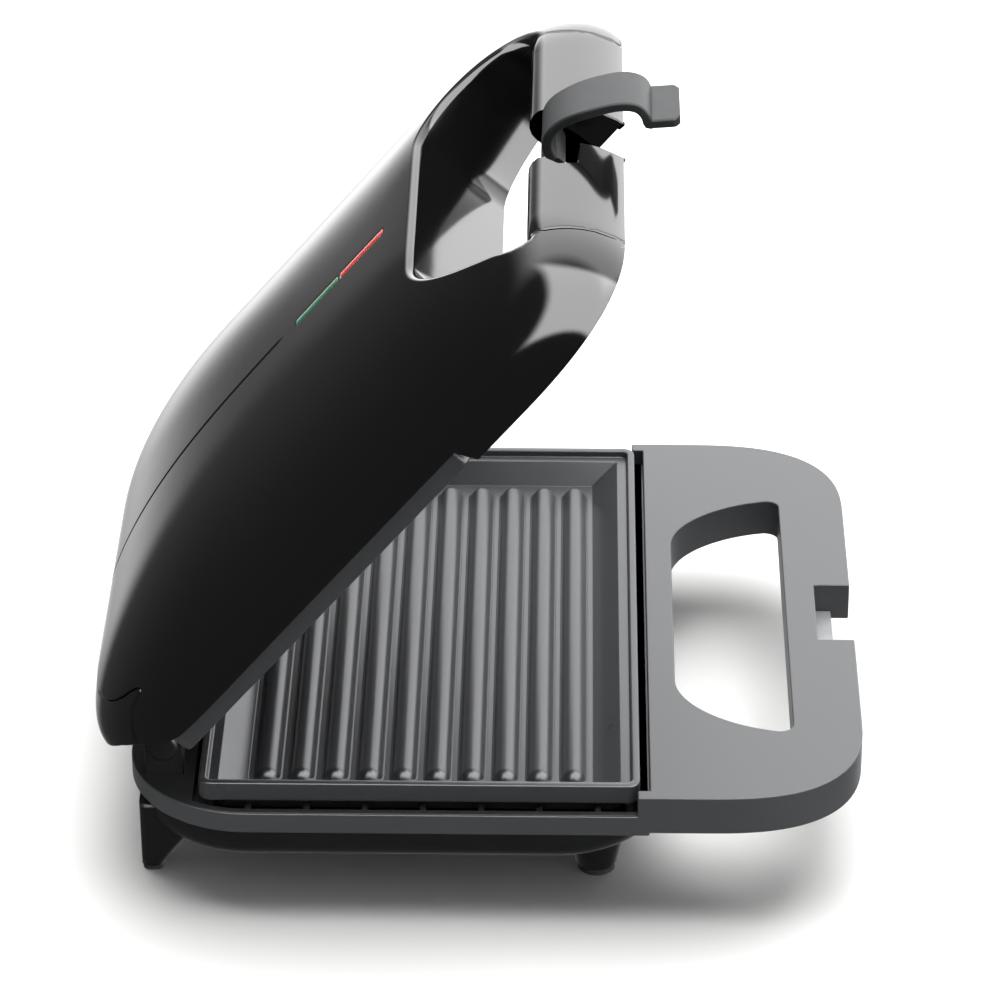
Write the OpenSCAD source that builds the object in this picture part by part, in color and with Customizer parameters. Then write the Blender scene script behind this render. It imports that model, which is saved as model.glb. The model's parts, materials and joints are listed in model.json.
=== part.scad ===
// Panini press with a domed lid on a rear hinge, ribbed grill plates and a D-shaped carrying handle.
// Frame: +Z up, the hinge axis along X, the handle towards -Y, the feet standing on z = 0.
// The origin is under the middle of the open press. The lid is drawn open at open_angle.

/* [Overall] */
// Width across the base and the lid
body_w = 222; // [200:1:270]
// Depth of the grill plates, hinge side to handle side
plate_d = 136.4; // [120:0.1:170]
// Depth of the handle in front of the plates
handle_d = 67.2; // [60:0.1:82]
// Height of the handle's top face above the floor
handle_top = 47; // [44:1:58]
// Height of the feet under the bottom cover
foot_h = 17; // [14:1:21]
// Angle at which the lid is drawn open
open_angle = 50; // [5:1:85]

/* [Base] */
// Wall thickness of the mouldings
wall = 2.6; // [2:0.1:3.2]
// Thickness of the base handle
handle_t = 13; // [11:0.5:15]
// Height of the visible band round the base
band_h = 7; // [5:0.5:8]
// Drop from the handle's top face to the band's top edge
band_drop = 7; // [6:0.5:8]
// Radius of the two rear corners
rear_r = 38; // [20:1:40]
// Length of the handle's front corner curve along Y
front_corner_y = 50; // [40:1:58]
// Width of the handle's front corner curve along X
front_corner_x = 45; // [35:1:52]
// Depth of base behind the plates, which holds the hinge
rear_d = 23.1; // [22:0.1:30]

/* [Handle] */
// Width of the finger hole at its widest
hole_w = 144; // [120:1:150]
// Width of the straight rear edge of the finger hole
hole_back_w = 84; // [60:1:92]
// Distance from the handle's front edge to the finger hole
grip_d = 21.7; // [19:0.1:26]
// Depth of the finger hole along Y
hole_d = 36.8; // [32:0.1:40]
// Width of the latch notch in the front edge
notch_w = 34; // [30:1:40]
// Depth of the latch notch
notch_d = 11.8; // [10:0.1:13]

/* [Plates] */
// Gap between each side of a plate and the side of the body
plate_side = 4.8; // [4.5:0.1:8]
// Gap between a plate and the handle
plate_front = 3; // [2:0.1:4]
// Height of a plate's rim
rim_h = 6.4; // [5:0.1:7]
// Distance of a plate's rim above the handle's top face
rim_proud = 1.1; // [0.6:0.1:2]
// Gap between the two plates when the lid is shut
plate_gap = 0.8; // [0.6:0.1:2]
// Number of ribs on a plate
ribs = 10; // [7:1:11]
// Spacing of the ribs
rib_pitch = 10.6; // [9:0.1:10.9]
// Radius of a rib
rib_r = 3.6; // [2.5:0.1:4]
// Depth of the grill floor under the rim
floor_drop = 9.6; // [8:0.1:11]
// Thickness of the cast plate under its floor
plate_t = 3; // [2.5:0.1:3.5]

/* [Lid] */
// Height of the lid's dome above the plates' meeting line
dome_h = 37.6; // [34:0.1:46]
// Overhang of the lid behind the base
lid_over = 8; // [4:0.5:10]
// Height of the lid's rear edge above the hinge axis
rear_lift = 12.6; // [12.4:0.1:15]
// Gap between the lid's front edge and the handle
lid_gap = 1.7; // [1:0.1:3]
// Width of the separate grip across the lid's front
grip_w = 140; // [110:1:142]
// Width of the slot for the latch in the grip
slot_w = 24; // [23.5:0.1:24.2]
// Length of one indicator window
window_l = 20.6; // [14:0.1:24]
// Width of an indicator window
window_w = 4; // [2.2:0.1:5]

/* [Hinge and latch] */
// Height of the hinge axis above the handle's top face
axis_up = 3.6; // [3:0.1:5]
// Distance of the hinge axis in front of the rear wall
axis_in = 11.5; // [11:0.1:11.8]
// Distance of each hinge from the centre line
hinge_x = 86; // [70:1:88]
// Radius of the hinge pins
pin_r = 2.5; // [2:0.1:3]
// Running clearance of a pin in its bore, on the radius
run = 0.05; // [0.03:0.01:0.09]
// Radius of the latch's pin
latch_pin_r = 1.6; // [1.2:0.1:2]
// Width of the latch strap
latch_w = 22; // [18:0.5:22.5]
// Thickness of the latch strap
latch_t = 3; // [2.2:0.1:3]

/* [Hidden] */

eps = 0.01;
fit = 0.2;                                    // gap round a cover seated in a wall
half_w = body_w / 2;
cord_x = 45;                                  // place of the mains lead's bush
base_d = rear_d + plate_d + plate_front + handle_d;
open_over = 12.7;                             // reach of the open lid behind the rear wall
y_front = -(base_d + open_over) / 2;          // front edge of the handle
y_rear = y_front + base_d;                    // rear wall
y_handle = y_front + handle_d;                // back of the handle's top face
y_plate0 = y_handle + plate_front;            // plate edge by the handle
y_plate1 = y_plate0 + plate_d;                // plate edge by the hinge
wide = body_w / 222;                           // the dome leans in further on a wider body
plate_w = body_w - 2 * plate_side * wide;
plate_mid = (y_plate0 + y_plate1) / 2;
z_rim = handle_top + rim_proud;               // rim of the lower plate
z_floor = z_rim - floor_drop;                 // grill floor of the lower plate
z_band = handle_top - band_drop;              // top of the base's band
z_band0 = z_band - band_h;                    // bottom of the band
z_under = handle_top - handle_t;              // underside of the handle
z_deck = z_band - 4;                          // deck round the lower plate
axis_y = y_rear - axis_in;
axis_z = handle_top + axis_up;
z_lid = handle_top + lid_gap;                 // lower edge of the lid over the handle
z_side = z_rim + plate_gap + rim_h;           // lower edge of the lid beside the plates
z_back = axis_z + rear_lift;                  // lower edge of the lid behind the hinge
z_top = handle_top + dome_h + lid_gap;
y_lid = y_rear + lid_over;
y_step = axis_y - 10;                         // step in the lid's frame in front of the hinge
grip_y = y_front + grip_d;                    // front edge of the finger hole
hole_y = grip_y + hole_d;                     // rear edge of the finger hole
front_power = 2.6;                            // roundness of the front corners
lid_rear_y = 60;                              // the lid's rear corner curve along Y
lid_rear_x = 66;                              // and along X
lid_power = 2.9;
dome_power = 4;                               // flatness of the dome's top
dome_edge = 1.8;                              // roundness of the dome's edge
dome_y = y_front + (base_d + lid_over) * 0.43;  // centre of the dome's rings
slope_side = 4.5;                             // run of a plate's side slope
slope_end = 8.5;                              // run of a plate's front and rear slope
ledge = 6;                                    // rim and ledge of a plate together
rim_t = 2.6;                                  // thickness of a plate's rim
pan_in = ledge - 0.6;                         // a plate's pan inside its rim
rib_l = plate_w - 2 * (ledge + slope_side + 4.7);
screw_r = 1.5;
boss_r = 3.6;
ear_t = 7;                                    // thickness of a hinge ear or arm
ear_r = 6;
ear_gap = 0.5;
arm_x = hinge_x - 1.5 * ear_t - ear_gap;      // inner face of the hinge arm
pin_l = 2 * ear_t + ear_gap + 1.5;
latch_y = y_front + 17.2;                     // the latch's pivot, lid shut
latch_z = handle_top + 16;
z_cover = z_lid + 0.2;
post_x = plate_w / 2 - 40;                    // screw posts of the plates
post_y = plate_d / 2 - 10;
post_h = 5;
z_post = z_floor - plate_t - post_h;          // lower end of the lower plate's posts
elem_r = 3.25;                                // radius of a heating element
elem_w = 2 * post_x - 22;                     // reach of the element's U along X
elem_d = plate_d - 66;                        // distance between its two legs
clip_w = 8;                                   // width of a saddle clip
clip_in = 14;                                 // distance of the outer clips from the element's ends
tray_t = 0.6;
head_r = 3;                                   // screw heads
head_h = 1.6;
bar_t = 2.4;                                  // floors, frames and bars of the mouldings
deck_ribs = 7;                                // ribs in the channel on each side of the lower plate
deck_pitch = 18;
deck_from = 16;
strip_in = 3.2;                               // middle of the strips and studs under the plates' rims
strip_t = 1.2;                                // half their thickness
foot_x = half_w - 32;                         // place of the front feet
foot_y = y_plate0 + 13;
leg_x = 78;                                   // place of the rear legs
leg_d = 7;                                    // depth of their lower ends
leg_back = 2.5;                               // their distance from the rear wall
pad_h = 2;
bush_r = 5;
bush_bore = 3.4;
flange_r = 7;
flange_t = 1.5;
thermo_x = -8;
thermo_r = 8;
thermo_h = 5;
fuse_x = 22;
fuse_r = 2;
fuse_l = 12;
block_x = 20;                                 // terminal block
block_y = y_rear - 30;
block_w = 32;
block_d = 10;
block_h = 10;
pole_pitch = 10;
pole_r = 1.8;
lead_r = 1.2;
lead_l = 22;
strike_y = 6;                                 // front edge of the latch's ledge behind the handle's
strike_down = 10;                             // its top under the handle's
strike_t = 2.6;
cover_x = 92;                                 // reach of the hinge cover
cover_y = axis_y - 14;
cover_z = z_top - 14;
window_y = hole_y + 14;
window_gap = 1.6;
lamp_z = z_top - 9;
lamp_r = 2.4;
holder_t = 3;

function super(t, n) = pow(max(0, 1 - pow(t, n)), 1 / n);
function bez(a, b, c, d, t) = a * pow(1 - t, 3) + 3 * b * t * pow(1 - t, 2) + 3 * c * t * t * (1 - t) + d * t * t * t;
function mirrored(p) = concat(p, [for (i = [len(p) - 1:-1:0]) [-p[i][0], p[i][1]]]);

// Right half of the body's outline from the front to the rear; the corners are superellipses.
function half_outline(w, y0, y1, fy, fx, fp, ry, rx, rp, n) = concat(
    [for (i = [0:n]) let (t = 90 * i / n)
        [w - fx + fx * pow(sin(t), 2 / fp), y0 + fy - fy * pow(cos(t), 2 / fp)]],
    [for (i = [0:n]) let (t = 90 * i / n)
        [w - rx + rx * pow(cos(t), 2 / rp), y1 - ry + ry * pow(sin(t), 2 / rp)]]);
function base_outline() = mirrored(half_outline(half_w, y_front, y_rear, front_corner_y,
    front_corner_x, front_power, rear_r, rear_r, 2, 9));
function lid_outline(g) = mirrored(concat([[0, y_front + g], [half_w - front_corner_x - 30, y_front + g]],
    half_outline(half_w - 1 - g, y_front + g, y_lid - g, front_corner_y - g, front_corner_x - g, front_power,
    lid_rear_y - g, lid_rear_x - g, lid_power, 8), [[18, y_lid - g], [0, y_lid - g]]));
function hole_outline(g) = let (w = hole_w / 2 + g, b = hole_back_w / 2)
    mirrored(concat([[w - 3, grip_y - g], [w - 1, grip_y + 0.8 - g], [w, grip_y + 2.5]],
    [for (i = [0:9]) let (t = i / 9)
        [bez(w, w - 3, b + 14, b, t), bez(grip_y + 4.5, hole_y - 15, hole_y + g, hole_y + g, t)]]));

// Lower edge of the lid: level over the handle and rising towards the rear.
function lift(y) = (z_back - z_lid) * pow(max(0, (y - dome_y - 25) / (y_lid - dome_y - 25)), 2);

// Closed domed solid: rings from the rim to the apex, and a fan under them.
module dome(g, low) {
    o = lid_outline(g);
    n = len(o);
    rings = 11;
    pts = concat(
        [for (k = [0:rings - 1]) let (r = cos(90 * k / rings), f = pow(1 - pow(r, dome_power), 1 / dome_edge))
            for (p = o) let (y = dome_y + r * (p[1] - dome_y), z0 = z_lid - low + lift(y))
                [r * p[0], y, z0 + (z_top - g - z0) * f]],
        [[0, dome_y, z_top - g], [0, dome_y, z_lid - low]]);
    top = n * rings;
    faces = concat(
        [for (k = [0:rings - 2]) for (i = [0:n - 1]) let (a = k * n + i, b = k * n + (i + 1) % n)
            [a, b + n, b]],
        [for (k = [0:rings - 2]) for (i = [0:n - 1]) let (a = k * n + i, b = k * n + (i + 1) % n)
            [a, a + n, b + n]],
        [for (i = [0:n - 1]) let (a = (rings - 1) * n + i, b = (rings - 1) * n + (i + 1) % n) [a, top, b]],
        [for (i = [0:n - 1]) [i, (i + 1) % n, top + 1]]);
    polyhedron(pts, faces);
}

// A flat outline drawn as [distance towards the handle, height] and run along X.
module along_x(l) {
    rotate([90, 0, -90]) linear_extrude(height = l, center = true) children();
}

// A pin or bore along X.
module rod_x(r, x0, x1) {
    translate([x0, 0, 0]) rotate([0, 90, 0]) cylinder(r = r, h = x1 - x0, $fn = 48);
}

module box(lo, hi) {
    translate(lo) cube(hi - lo);
}

// Places a piece drawn with the lid shut where the open lid carries it.
module opened() {
    translate([0, axis_y, axis_z]) rotate([-open_angle, 0, 0]) translate([0, -axis_y, -axis_z]) children();
}

module at_posts() {
    for (sx = [-1, 1]) for (sy = [-1, 1]) translate([sx * post_x, sy * post_y, 0]) children();
}

module slab(pts, z0, z1) {
    translate([0, 0, z0]) linear_extrude(height = z1 - z0) polygon(pts);
}

module inset_slab(pts, g, z0, z1) {
    translate([0, 0, z0]) linear_extrude(height = z1 - z0) offset(delta = -g) polygon(pts);
}

// ---- base ----

// Rounded tub under the base: loops run down the inside and back up the outside.
function tub_loop(g, z) =
    let (x = half_w - 1.5 - g, y0 = y_handle - 8 + g, y1 = y_rear - 1.5 - g, r = max(5, rear_r - 2 - g))
    [for (c = [[1, -1, -90], [1, 1, 0], [-1, 1, 90], [-1, -1, 180]]) for (a = [0:15:90])
        [c[0] * (x - r) + r * cos(c[2] + a), (c[1] < 0 ? y0 + r : y1 - r) + r * sin(c[2] + a), z]];
function tub_inset(t) = 19 * (1 - super(t, 2.2));
module tub(t_wall) {
    deep = z_band0 - foot_h;
    steps = [for (a = [0:18:90]) sin(a)];
    loops = concat(
        [for (i = [len(steps) - 1:-1:0]) tub_loop(tub_inset(steps[i]) * 0.94 + t_wall,
            z_band0 - steps[i] * (deep - t_wall))],
        [for (t = steps) tub_loop(tub_inset(t), z_band0 - t * deep)]);
    n = len(loops[0]);
    k = len(loops);
    polyhedron(concat([for (l = loops) each l]), concat(
        [[for (i = [n - 1:-1:0]) i]],
        [for (j = [0:k - 2]) for (i = [0:n - 1]) [j * n + i, j * n + (i + 1) % n, (j + 1) * n + (i + 1) % n]],
        [for (j = [0:k - 2]) for (i = [0:n - 1]) [j * n + i, (j + 1) * n + (i + 1) % n, (j + 1) * n + i]],
        [[for (i = [0:n - 1]) (k - 1) * n + i]]));
}

module finger_hole(g, z0, z1) {
    slab(hole_outline(g), z0, z1);
}

// Notch in the handle's front edge, grown by g.
module notch(g, z0, z1) {
    box([-notch_w / 2 - g, y_front - 1, z0], [notch_w / 2 + g, y_front + notch_d + g, z1]);
}

module base_frame() {
    color("#5a5c5e") difference() {
        union() {
            difference() {
                slab(base_outline(), z_band0, handle_top);
                box([-half_w - 1, y_handle, z_band], [half_w + 1, y_rear + 1, handle_top + 1]);
            }
            for (s = [-1, 1]) intersection() {
                slab(base_outline(), z_band, handle_top);
                box([s * (half_w - 2.2) - 2.2, y_handle - 1, z_band - 1], [s * (half_w - 2.2) + 2.2,
                    y_handle + 3.8, handle_top]);
            }
            // hinge ears
            for (s = [-1, 1]) translate([0, axis_y, 0]) {
                box([s * hinge_x - ear_t / 2, -ear_r, z_deck - 2], [s * hinge_x + ear_t / 2, ear_r, axis_z]);
                translate([0, 0, axis_z]) rod_x(ear_r, s * hinge_x - ear_t / 2, s * hinge_x + ear_t / 2);
            }
        }
        // channel round the plate, over the deck
        difference() {
            inset_slab(base_outline(), wall, z_deck, z_band + 1);
            box([-half_w, y_front, 0], [half_w, y_handle + eps, 99]);
            box([-half_w, y_plate1 + 2, 0], [half_w, y_rear, 99]);
            for (s = [-1, 1]) for (i = [0:deck_ribs - 1]) translate([0, y_handle + deck_from + deck_pitch * i, 0])
                box([s * (plate_w / 2 + 0.4) - 3, -1, 0], [s * (plate_w / 2 + 0.4) + 3, 1, 99]);
        }
        // space under the deck
        difference() {
            inset_slab(base_outline(), wall, z_band0 - 1, z_deck - bar_t);
            box([-half_w, y_front, 0], [half_w, y_handle + wall, 99]);
        }
        // opening for the plate's pan
        box([-plate_w / 2 + ledge - 1.5, y_plate0 + ledge - 1.5, z_band0 - 1],
            [plate_w / 2 - ledge + 1.5, y_plate1 - ledge + 1.5, 99]);
        // hollow handle
        difference() {
            inset_slab(base_outline(), wall, z_under - 2, handle_top - wall);
            box([-half_w, y_handle - wall, 0], [half_w, y_rear, 99]);
            finger_hole(wall, 0, 99);
            notch(wall, 0, 99);
        }
        difference() {
            slab(base_outline(), z_band0 - 1, z_under);
            box([-half_w - 1, y_handle, 0], [half_w + 1, y_rear + 1, 99]);
        }
        finger_hole(0, 0, 99);
        notch(0, 0, 99);
        // hinge pin bores and the cord bush
        for (s = [-1, 1]) translate([0, axis_y, axis_z])
            rod_x(pin_r, s * hinge_x - ear_t, s * hinge_x + ear_t);
        translate([cord_x, y_rear, z_band0]) rotate([90, 0, 0]) cylinder(r = bush_r, h = 3 * wall, center = true,
            $fn = 48);
    }
    // strips that hold up the plate's rim
    color("#5a5c5e") for (s = [-1, 1])
        box([s * (plate_w / 2 - strip_in) - strip_t, y_plate0 + 2 * ledge, z_deck - eps],
            [s * (plate_w / 2 - strip_in) + strip_t, y_plate1 - 2 * ledge, z_rim - rim_h]);
}

module base_cover() {
    color("#2e3032") difference() {
        union() {
            tub(wall);
            translate([0, plate_mid, foot_h + wall / 2]) at_posts()
                cylinder(r = boss_r + 0.6, h = z_post - foot_h - wall / 2, $fn = 48);
        }
        translate([0, plate_mid, 0]) at_posts() {
            cylinder(r = screw_r + 0.1, h = z_post + 1, $fn = 32);
            cylinder(r = head_r + 0.4, h = foot_h + wall, $fn = 32);
        }
        translate([cord_x, y_rear, z_band0]) rotate([90, 0, 0]) cylinder(r = bush_r, h = 40, center = true, $fn = 48);
    }
}

module handle_cover() {
    color("#3a3c3e") difference() {
        inset_slab(base_outline(), wall + fit, z_under, z_under + bar_t);
        box([-half_w, y_handle - wall - fit, 0], [half_w, y_rear, 99]);
        finger_hole(wall + fit, 0, 99);
        notch(wall + fit, 0, 99);
    }
}

// Ledge in the notch that the latch hooks under.
module latch_strike() {
    color("#8a8c8e") box([-notch_w / 2 + fit, y_front + strike_y, handle_top - strike_down - strike_t],
        [notch_w / 2 - fit, y_front + notch_d, handle_top - strike_down]);
}

// Tapered leg under a rear corner of the base.
module rear_foot(s) {
    color("#26282a") difference() {
        hull() {
            box([s * (leg_x + 4) - 11, y_rear - 30, z_band0 - 2], [s * (leg_x + 4) + 11, y_rear - 4, z_band0 - 1.9]);
            box([s * leg_x - 6, y_rear - leg_back - leg_d, pad_h], [s * leg_x + 6, y_rear - leg_back, pad_h + 0.1]);
        }
        hull() tub(0.5);
    }
}
module left_rear_foot() rear_foot(-1);
module right_rear_foot() rear_foot(1);

module front_foot(s) {
    color("#26282a") translate([s * foot_x, foot_y, pad_h])
        cylinder(r1 = 6.3, r2 = 9.4, h = foot_h - pad_h, $fn = 64);
}
module left_front_foot() front_foot(-1);
module right_front_foot() front_foot(1);

module foot_pads() {
    color("#1c1c1d") {
        for (s = [-1, 1]) translate([s * foot_x, foot_y, 0]) cylinder(r = 6, h = pad_h, $fn = 64);
        for (s = [-1, 1]) translate([s * leg_x, y_rear - leg_back, 0])
            box([-5.6, 0.4 - leg_d, 0], [5.6, -0.4, pad_h]);
    }
}

// ---- plates ----

// A grill plate face up, its rim's top at z = 0 and its middle at the origin.
module grill_plate() {
    hx = plate_w / 2;
    hy = plate_d / 2;
    difference() {
        union() {
            translate([0, 0, -rim_h]) linear_extrude(height = rim_h) offset(r = 4, $fn = 32)
                square([plate_w - 8, plate_d - 8], center = true);
            box([-hx + pan_in, -hy + pan_in, -floor_drop - plate_t], [hx - pan_in, hy - pan_in, -rim_h + 1]);
            at_posts() translate([0, 0, -floor_drop - plate_t - post_h])
                cylinder(r = boss_r, h = post_h + 1, $fn = 32);
        }
        translate([0, 0, -2.3]) linear_extrude(height = 9) offset(r = 2, $fn = 32)
            square([plate_w - 2 * rim_t - 4, plate_d - 2 * rim_t - 4], center = true);
        hull() {
            box([-hx + ledge, -hy + ledge, -2.3], [hx - ledge, hy - ledge, -2.2]);
            box([-hx + ledge + slope_side, -hy + ledge + slope_end, -floor_drop],
                [hx - ledge - slope_side, hy - ledge - slope_end, -floor_drop + 0.01]);
        }
        at_posts() translate([0, 0, -floor_drop - plate_t - post_h - 1])
            cylinder(r = screw_r, h = post_h + 1.5, $fn = 32);
    }
    intersection() {
        union() for (i = [0:ribs - 1]) translate([0, (i - (ribs - 1) / 2) * rib_pitch, -floor_drop]) {
            rod_x(rib_r, -rib_l / 2 + rib_r, rib_l / 2 - rib_r);
            for (s = [-1, 1]) translate([s * (rib_l / 2 - rib_r), 0, 0]) sphere(r = rib_r, $fn = 32);
        }
        box([-hx, -hy, -floor_drop - 0.5], [hx, hy, 0]);
    }
}

module lower_side() {
    translate([0, plate_mid, z_rim]) children();
}
module upper_side() {
    opened() translate([0, plate_mid, z_rim + plate_gap]) mirror([0, 0, 1]) children();
}

// Tubular element bent into a U, lying against the plate's back.
module element() {
    x = elem_w / 2 - elem_d / 2;
    y = elem_d / 2;
    translate([0, 0, -floor_drop - plate_t - elem_r]) {
        for (s = [-1, 1]) translate([0, s * y, 0]) rod_x(elem_r, -elem_w / 2 + 4, x);
        translate([x, 0, 0]) rotate([0, 0, -90]) rotate_extrude(angle = 180, $fn = 64)
            translate([y, 0]) circle(r = elem_r, $fn = 32);
    }
}

// Saddle clips over the element and the screws' lands beside it.
module clips() {
    z = -floor_drop - plate_t;
    for (x = [clip_in - elem_w / 2, elem_w / 2 - elem_d / 2 - clip_w]) for (s = [-1, 1])
        translate([x, s * elem_d / 2, 0]) difference() {
            box([-clip_w / 2, -elem_r - 5, z - 2 * elem_r - 1], [clip_w / 2, elem_r + 5, z]);
            translate([0, 0, z - elem_r]) rod_x(elem_r + run, -clip_w, clip_w);
        }
}

// Pressed tray that throws the heat back at the plate.
module tray() {
    z = -floor_drop - plate_t - 2 * elem_r - 2;
    x = post_x - 6;
    y = plate_d / 2 - 18;
    difference() {
        box([-x, -y, z - tray_t], [x, y, z + 5]);
        box([-x + tray_t, -y + tray_t, z], [x - tray_t, y - tray_t, z + 6]);
    }
}

// Screws into a plate's posts; grip is the stretch between the head and the post.
module plate_screws(grip) {
    z = -floor_drop - plate_t - post_h - grip;
    at_posts() {
        translate([0, 0, z - head_h]) cylinder(r = head_r, h = head_h, $fn = 32);
        translate([0, 0, z - head_h + 1]) cylinder(r = screw_r, h = grip + head_h - 1 + 4.5, $fn = 32);
    }
}

module lower_plate() color("#4e5052") lower_side() grill_plate();
module upper_plate() color("#4e5052") upper_side() grill_plate();
module lower_element() color("#8f8b84") lower_side() element();
module upper_element() color("#8f8b84") upper_side() element();
module lower_clips() color("#b0b2b4") lower_side() clips();
module upper_clips() color("#b0b2b4") upper_side() clips();
module lower_reflector() color("#c8cacc") lower_side() tray();
module upper_reflector() color("#c8cacc") upper_side() tray();
module lower_plate_screws() color("#9a9c9e") lower_side() plate_screws(z_post - foot_h - wall);
module upper_plate_screws() color("#9a9c9e") upper_side() plate_screws(bar_t);

// ---- parts inside the base ----

module thermostat() {
    color("#d8d4c8") lower_side() translate([thermo_x, 0, -floor_drop - plate_t]) {
        translate([0, 0, -thermo_h]) cylinder(r = thermo_r, h = thermo_h, $fn = 48);
        box([-1.5 * thermo_r, -2.5, -thermo_h - 0.8], [1.5 * thermo_r, 2.5, -thermo_h]);
    }
}
module thermal_fuse() {
    color("#c9b37a") lower_side() translate([fuse_x, 0, -floor_drop - plate_t - fuse_r - 0.5])
        rod_x(fuse_r, -fuse_l / 2, fuse_l / 2);
}
module terminal_block() {
    color("#e8e6df") translate([block_x, block_y, foot_h + wall]) difference() {
        box([-block_w / 2, -block_d / 2, 0], [block_w / 2, block_d / 2, block_h]);
        for (i = [-1:1]) translate([i * pole_pitch, 0, block_h / 2]) rotate([90, 0, 0])
            cylinder(r = pole_r, h = 2 * block_d, center = true, $fn = 24);
    }
}
// Flanged bush that the mains lead would pass through.
module cord_bush() {
    color("#1c1c1d") translate([cord_x, y_rear, z_band0]) rotate([90, 0, 0]) difference() {
        union() {
            cylinder(r = bush_r, h = wall, $fn = 48);
            translate([0, 0, -flange_t]) cylinder(r = flange_r, h = flange_t, $fn = 48);
        }
        translate([0, 0, -flange_t - 1]) cylinder(r = bush_bore, h = wall + flange_t + 2, $fn = 48);
    }
}
// Three leads from the terminal block towards the element, thermostat and fuse.
module base_leads() {
    color("#c43c2c") for (i = [-1:1]) let (y = block_y - block_d / 2 - fit)
        translate([block_x + i * pole_pitch, y, foot_h + wall + block_h / 2]) rotate([90, 0, 0])
            cylinder(r = lead_r, h = lead_l, $fn = 24);
}
module hinge_pin(s) {
    a = s > 0 ? arm_x - 0.5 : -(arm_x - 0.5) - pin_l;
    color("#b0b2b4") translate([0, axis_y, axis_z]) rod_x(pin_r, a, a + pin_l);
}
module left_hinge_pin() hinge_pin(-1);
module right_hinge_pin() hinge_pin(1);

// ---- lid ----

module lid_edge_cut() {
    along_x(body_w + 60) polygon([for (p = [[y_handle + 2, 0], [y_handle + 2, z_side], [y_step - 7, z_side],
        [y_step - 2, z_side + 0.8], [y_step + 3, z_side + 3], [y_step + 7, z_back - 2], [axis_y + 1, z_back - 0.5],
        [axis_y + 5, z_back], [y_lid + 20, z_back], [y_lid + 20, 0]]) [-p[0], p[1]]]);
}
module cover_region(g) {
    translate([0, 0, z_lid - 20]) linear_extrude(height = cover_z - z_lid + 20 + g)
        polygon([[-cover_x - g, cover_y + 12 - g], [-cover_x + 9, cover_y - g], [cover_x - 9, cover_y - g],
            [cover_x + g, cover_y + 12 - g], [cover_x + g, y_lid + 20], [-cover_x - g, y_lid + 20]]);
}
module grip_region(g, d) {
    box([-grip_w / 2 - g, y_front - 5, 0], [grip_w / 2 + g, grip_y + d, 120]);
}
module lid_shell() {
    color("#161718") opened() difference() {
        dome(0, 0);
        difference() {
            dome(wall, 4);
            finger_hole(wall, 0, 120);
        }
        finger_hole(0, 0, 120);
        grip_region(0.2, 3);
        cover_region(0.2);
        lid_edge_cut();
        for (s = [0, 1]) window_box(0.15, s);
    }
}
module lid_hinge_cover() {
    color("#1a1b1c") opened() intersection() {
        difference() {
            dome(0, 0);
            dome(wall, 4);
            lid_edge_cut();
        }
        cover_region(0);
    }
}
module lid_grip() {
    color("#222426") opened() difference() {
        intersection() {
            dome(0, 0);
            grip_region(0, 0);
        }
        difference() {
            dome(wall, 4);
            box([-slot_w / 2 - wall, y_front - 5, 0], [slot_w / 2 + wall, grip_y, 120]);
            for (s = [-1, 1]) box([s * grip_w / 2 - wall, y_front - 5, 0], [s * grip_w / 2 + wall, grip_y, 120]);
            box([-grip_w, grip_y - wall, 0], [grip_w, grip_y + 5, 120]);
        }
        box([-slot_w / 2, y_front - 5, 0], [slot_w / 2, grip_y - wall, 120]);
        box([-slot_w / 2, grip_y - wall - 1, z_lid + 7], [slot_w / 2, grip_y + 1, 120]);
        // scooped near side that lets a finger reach the latch
        hull() {
            box([-slot_w / 2 - 14, y_front - 5, z_lid - 1], [slot_w / 2, y_front - 4, z_lid]);
            box([-slot_w / 2, y_front + 12, z_top - 14], [slot_w / 2, y_front + 12.1, z_top - 13]);
            box([-slot_w / 2, y_front + 8, z_lid - 1], [slot_w / 2, y_front + 8.1, z_lid]);
        }
        translate([0, latch_y, latch_z]) rod_x(latch_pin_r, -slot_w, slot_w);
    }
}
module grip_cover() {
    color("#1c1d1e") opened() difference() {
        slab(lid_outline(wall + fit + 1.5), z_cover, z_cover + bar_t);
        box([-half_w, y_handle - 1, 0], [half_w, y_lid, 99]);
        finger_hole(wall + fit, 0, 99);
        box([-slot_w / 2 - wall - fit, y_front - 5, 0], [slot_w / 2 + wall + fit, grip_y, 99]);
        for (s = [-1, 1]) box([s * grip_w / 2 - wall - fit, y_front - 5, 0], [s * grip_w / 2 + wall + fit, grip_y, 99]);
    }
}

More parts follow.
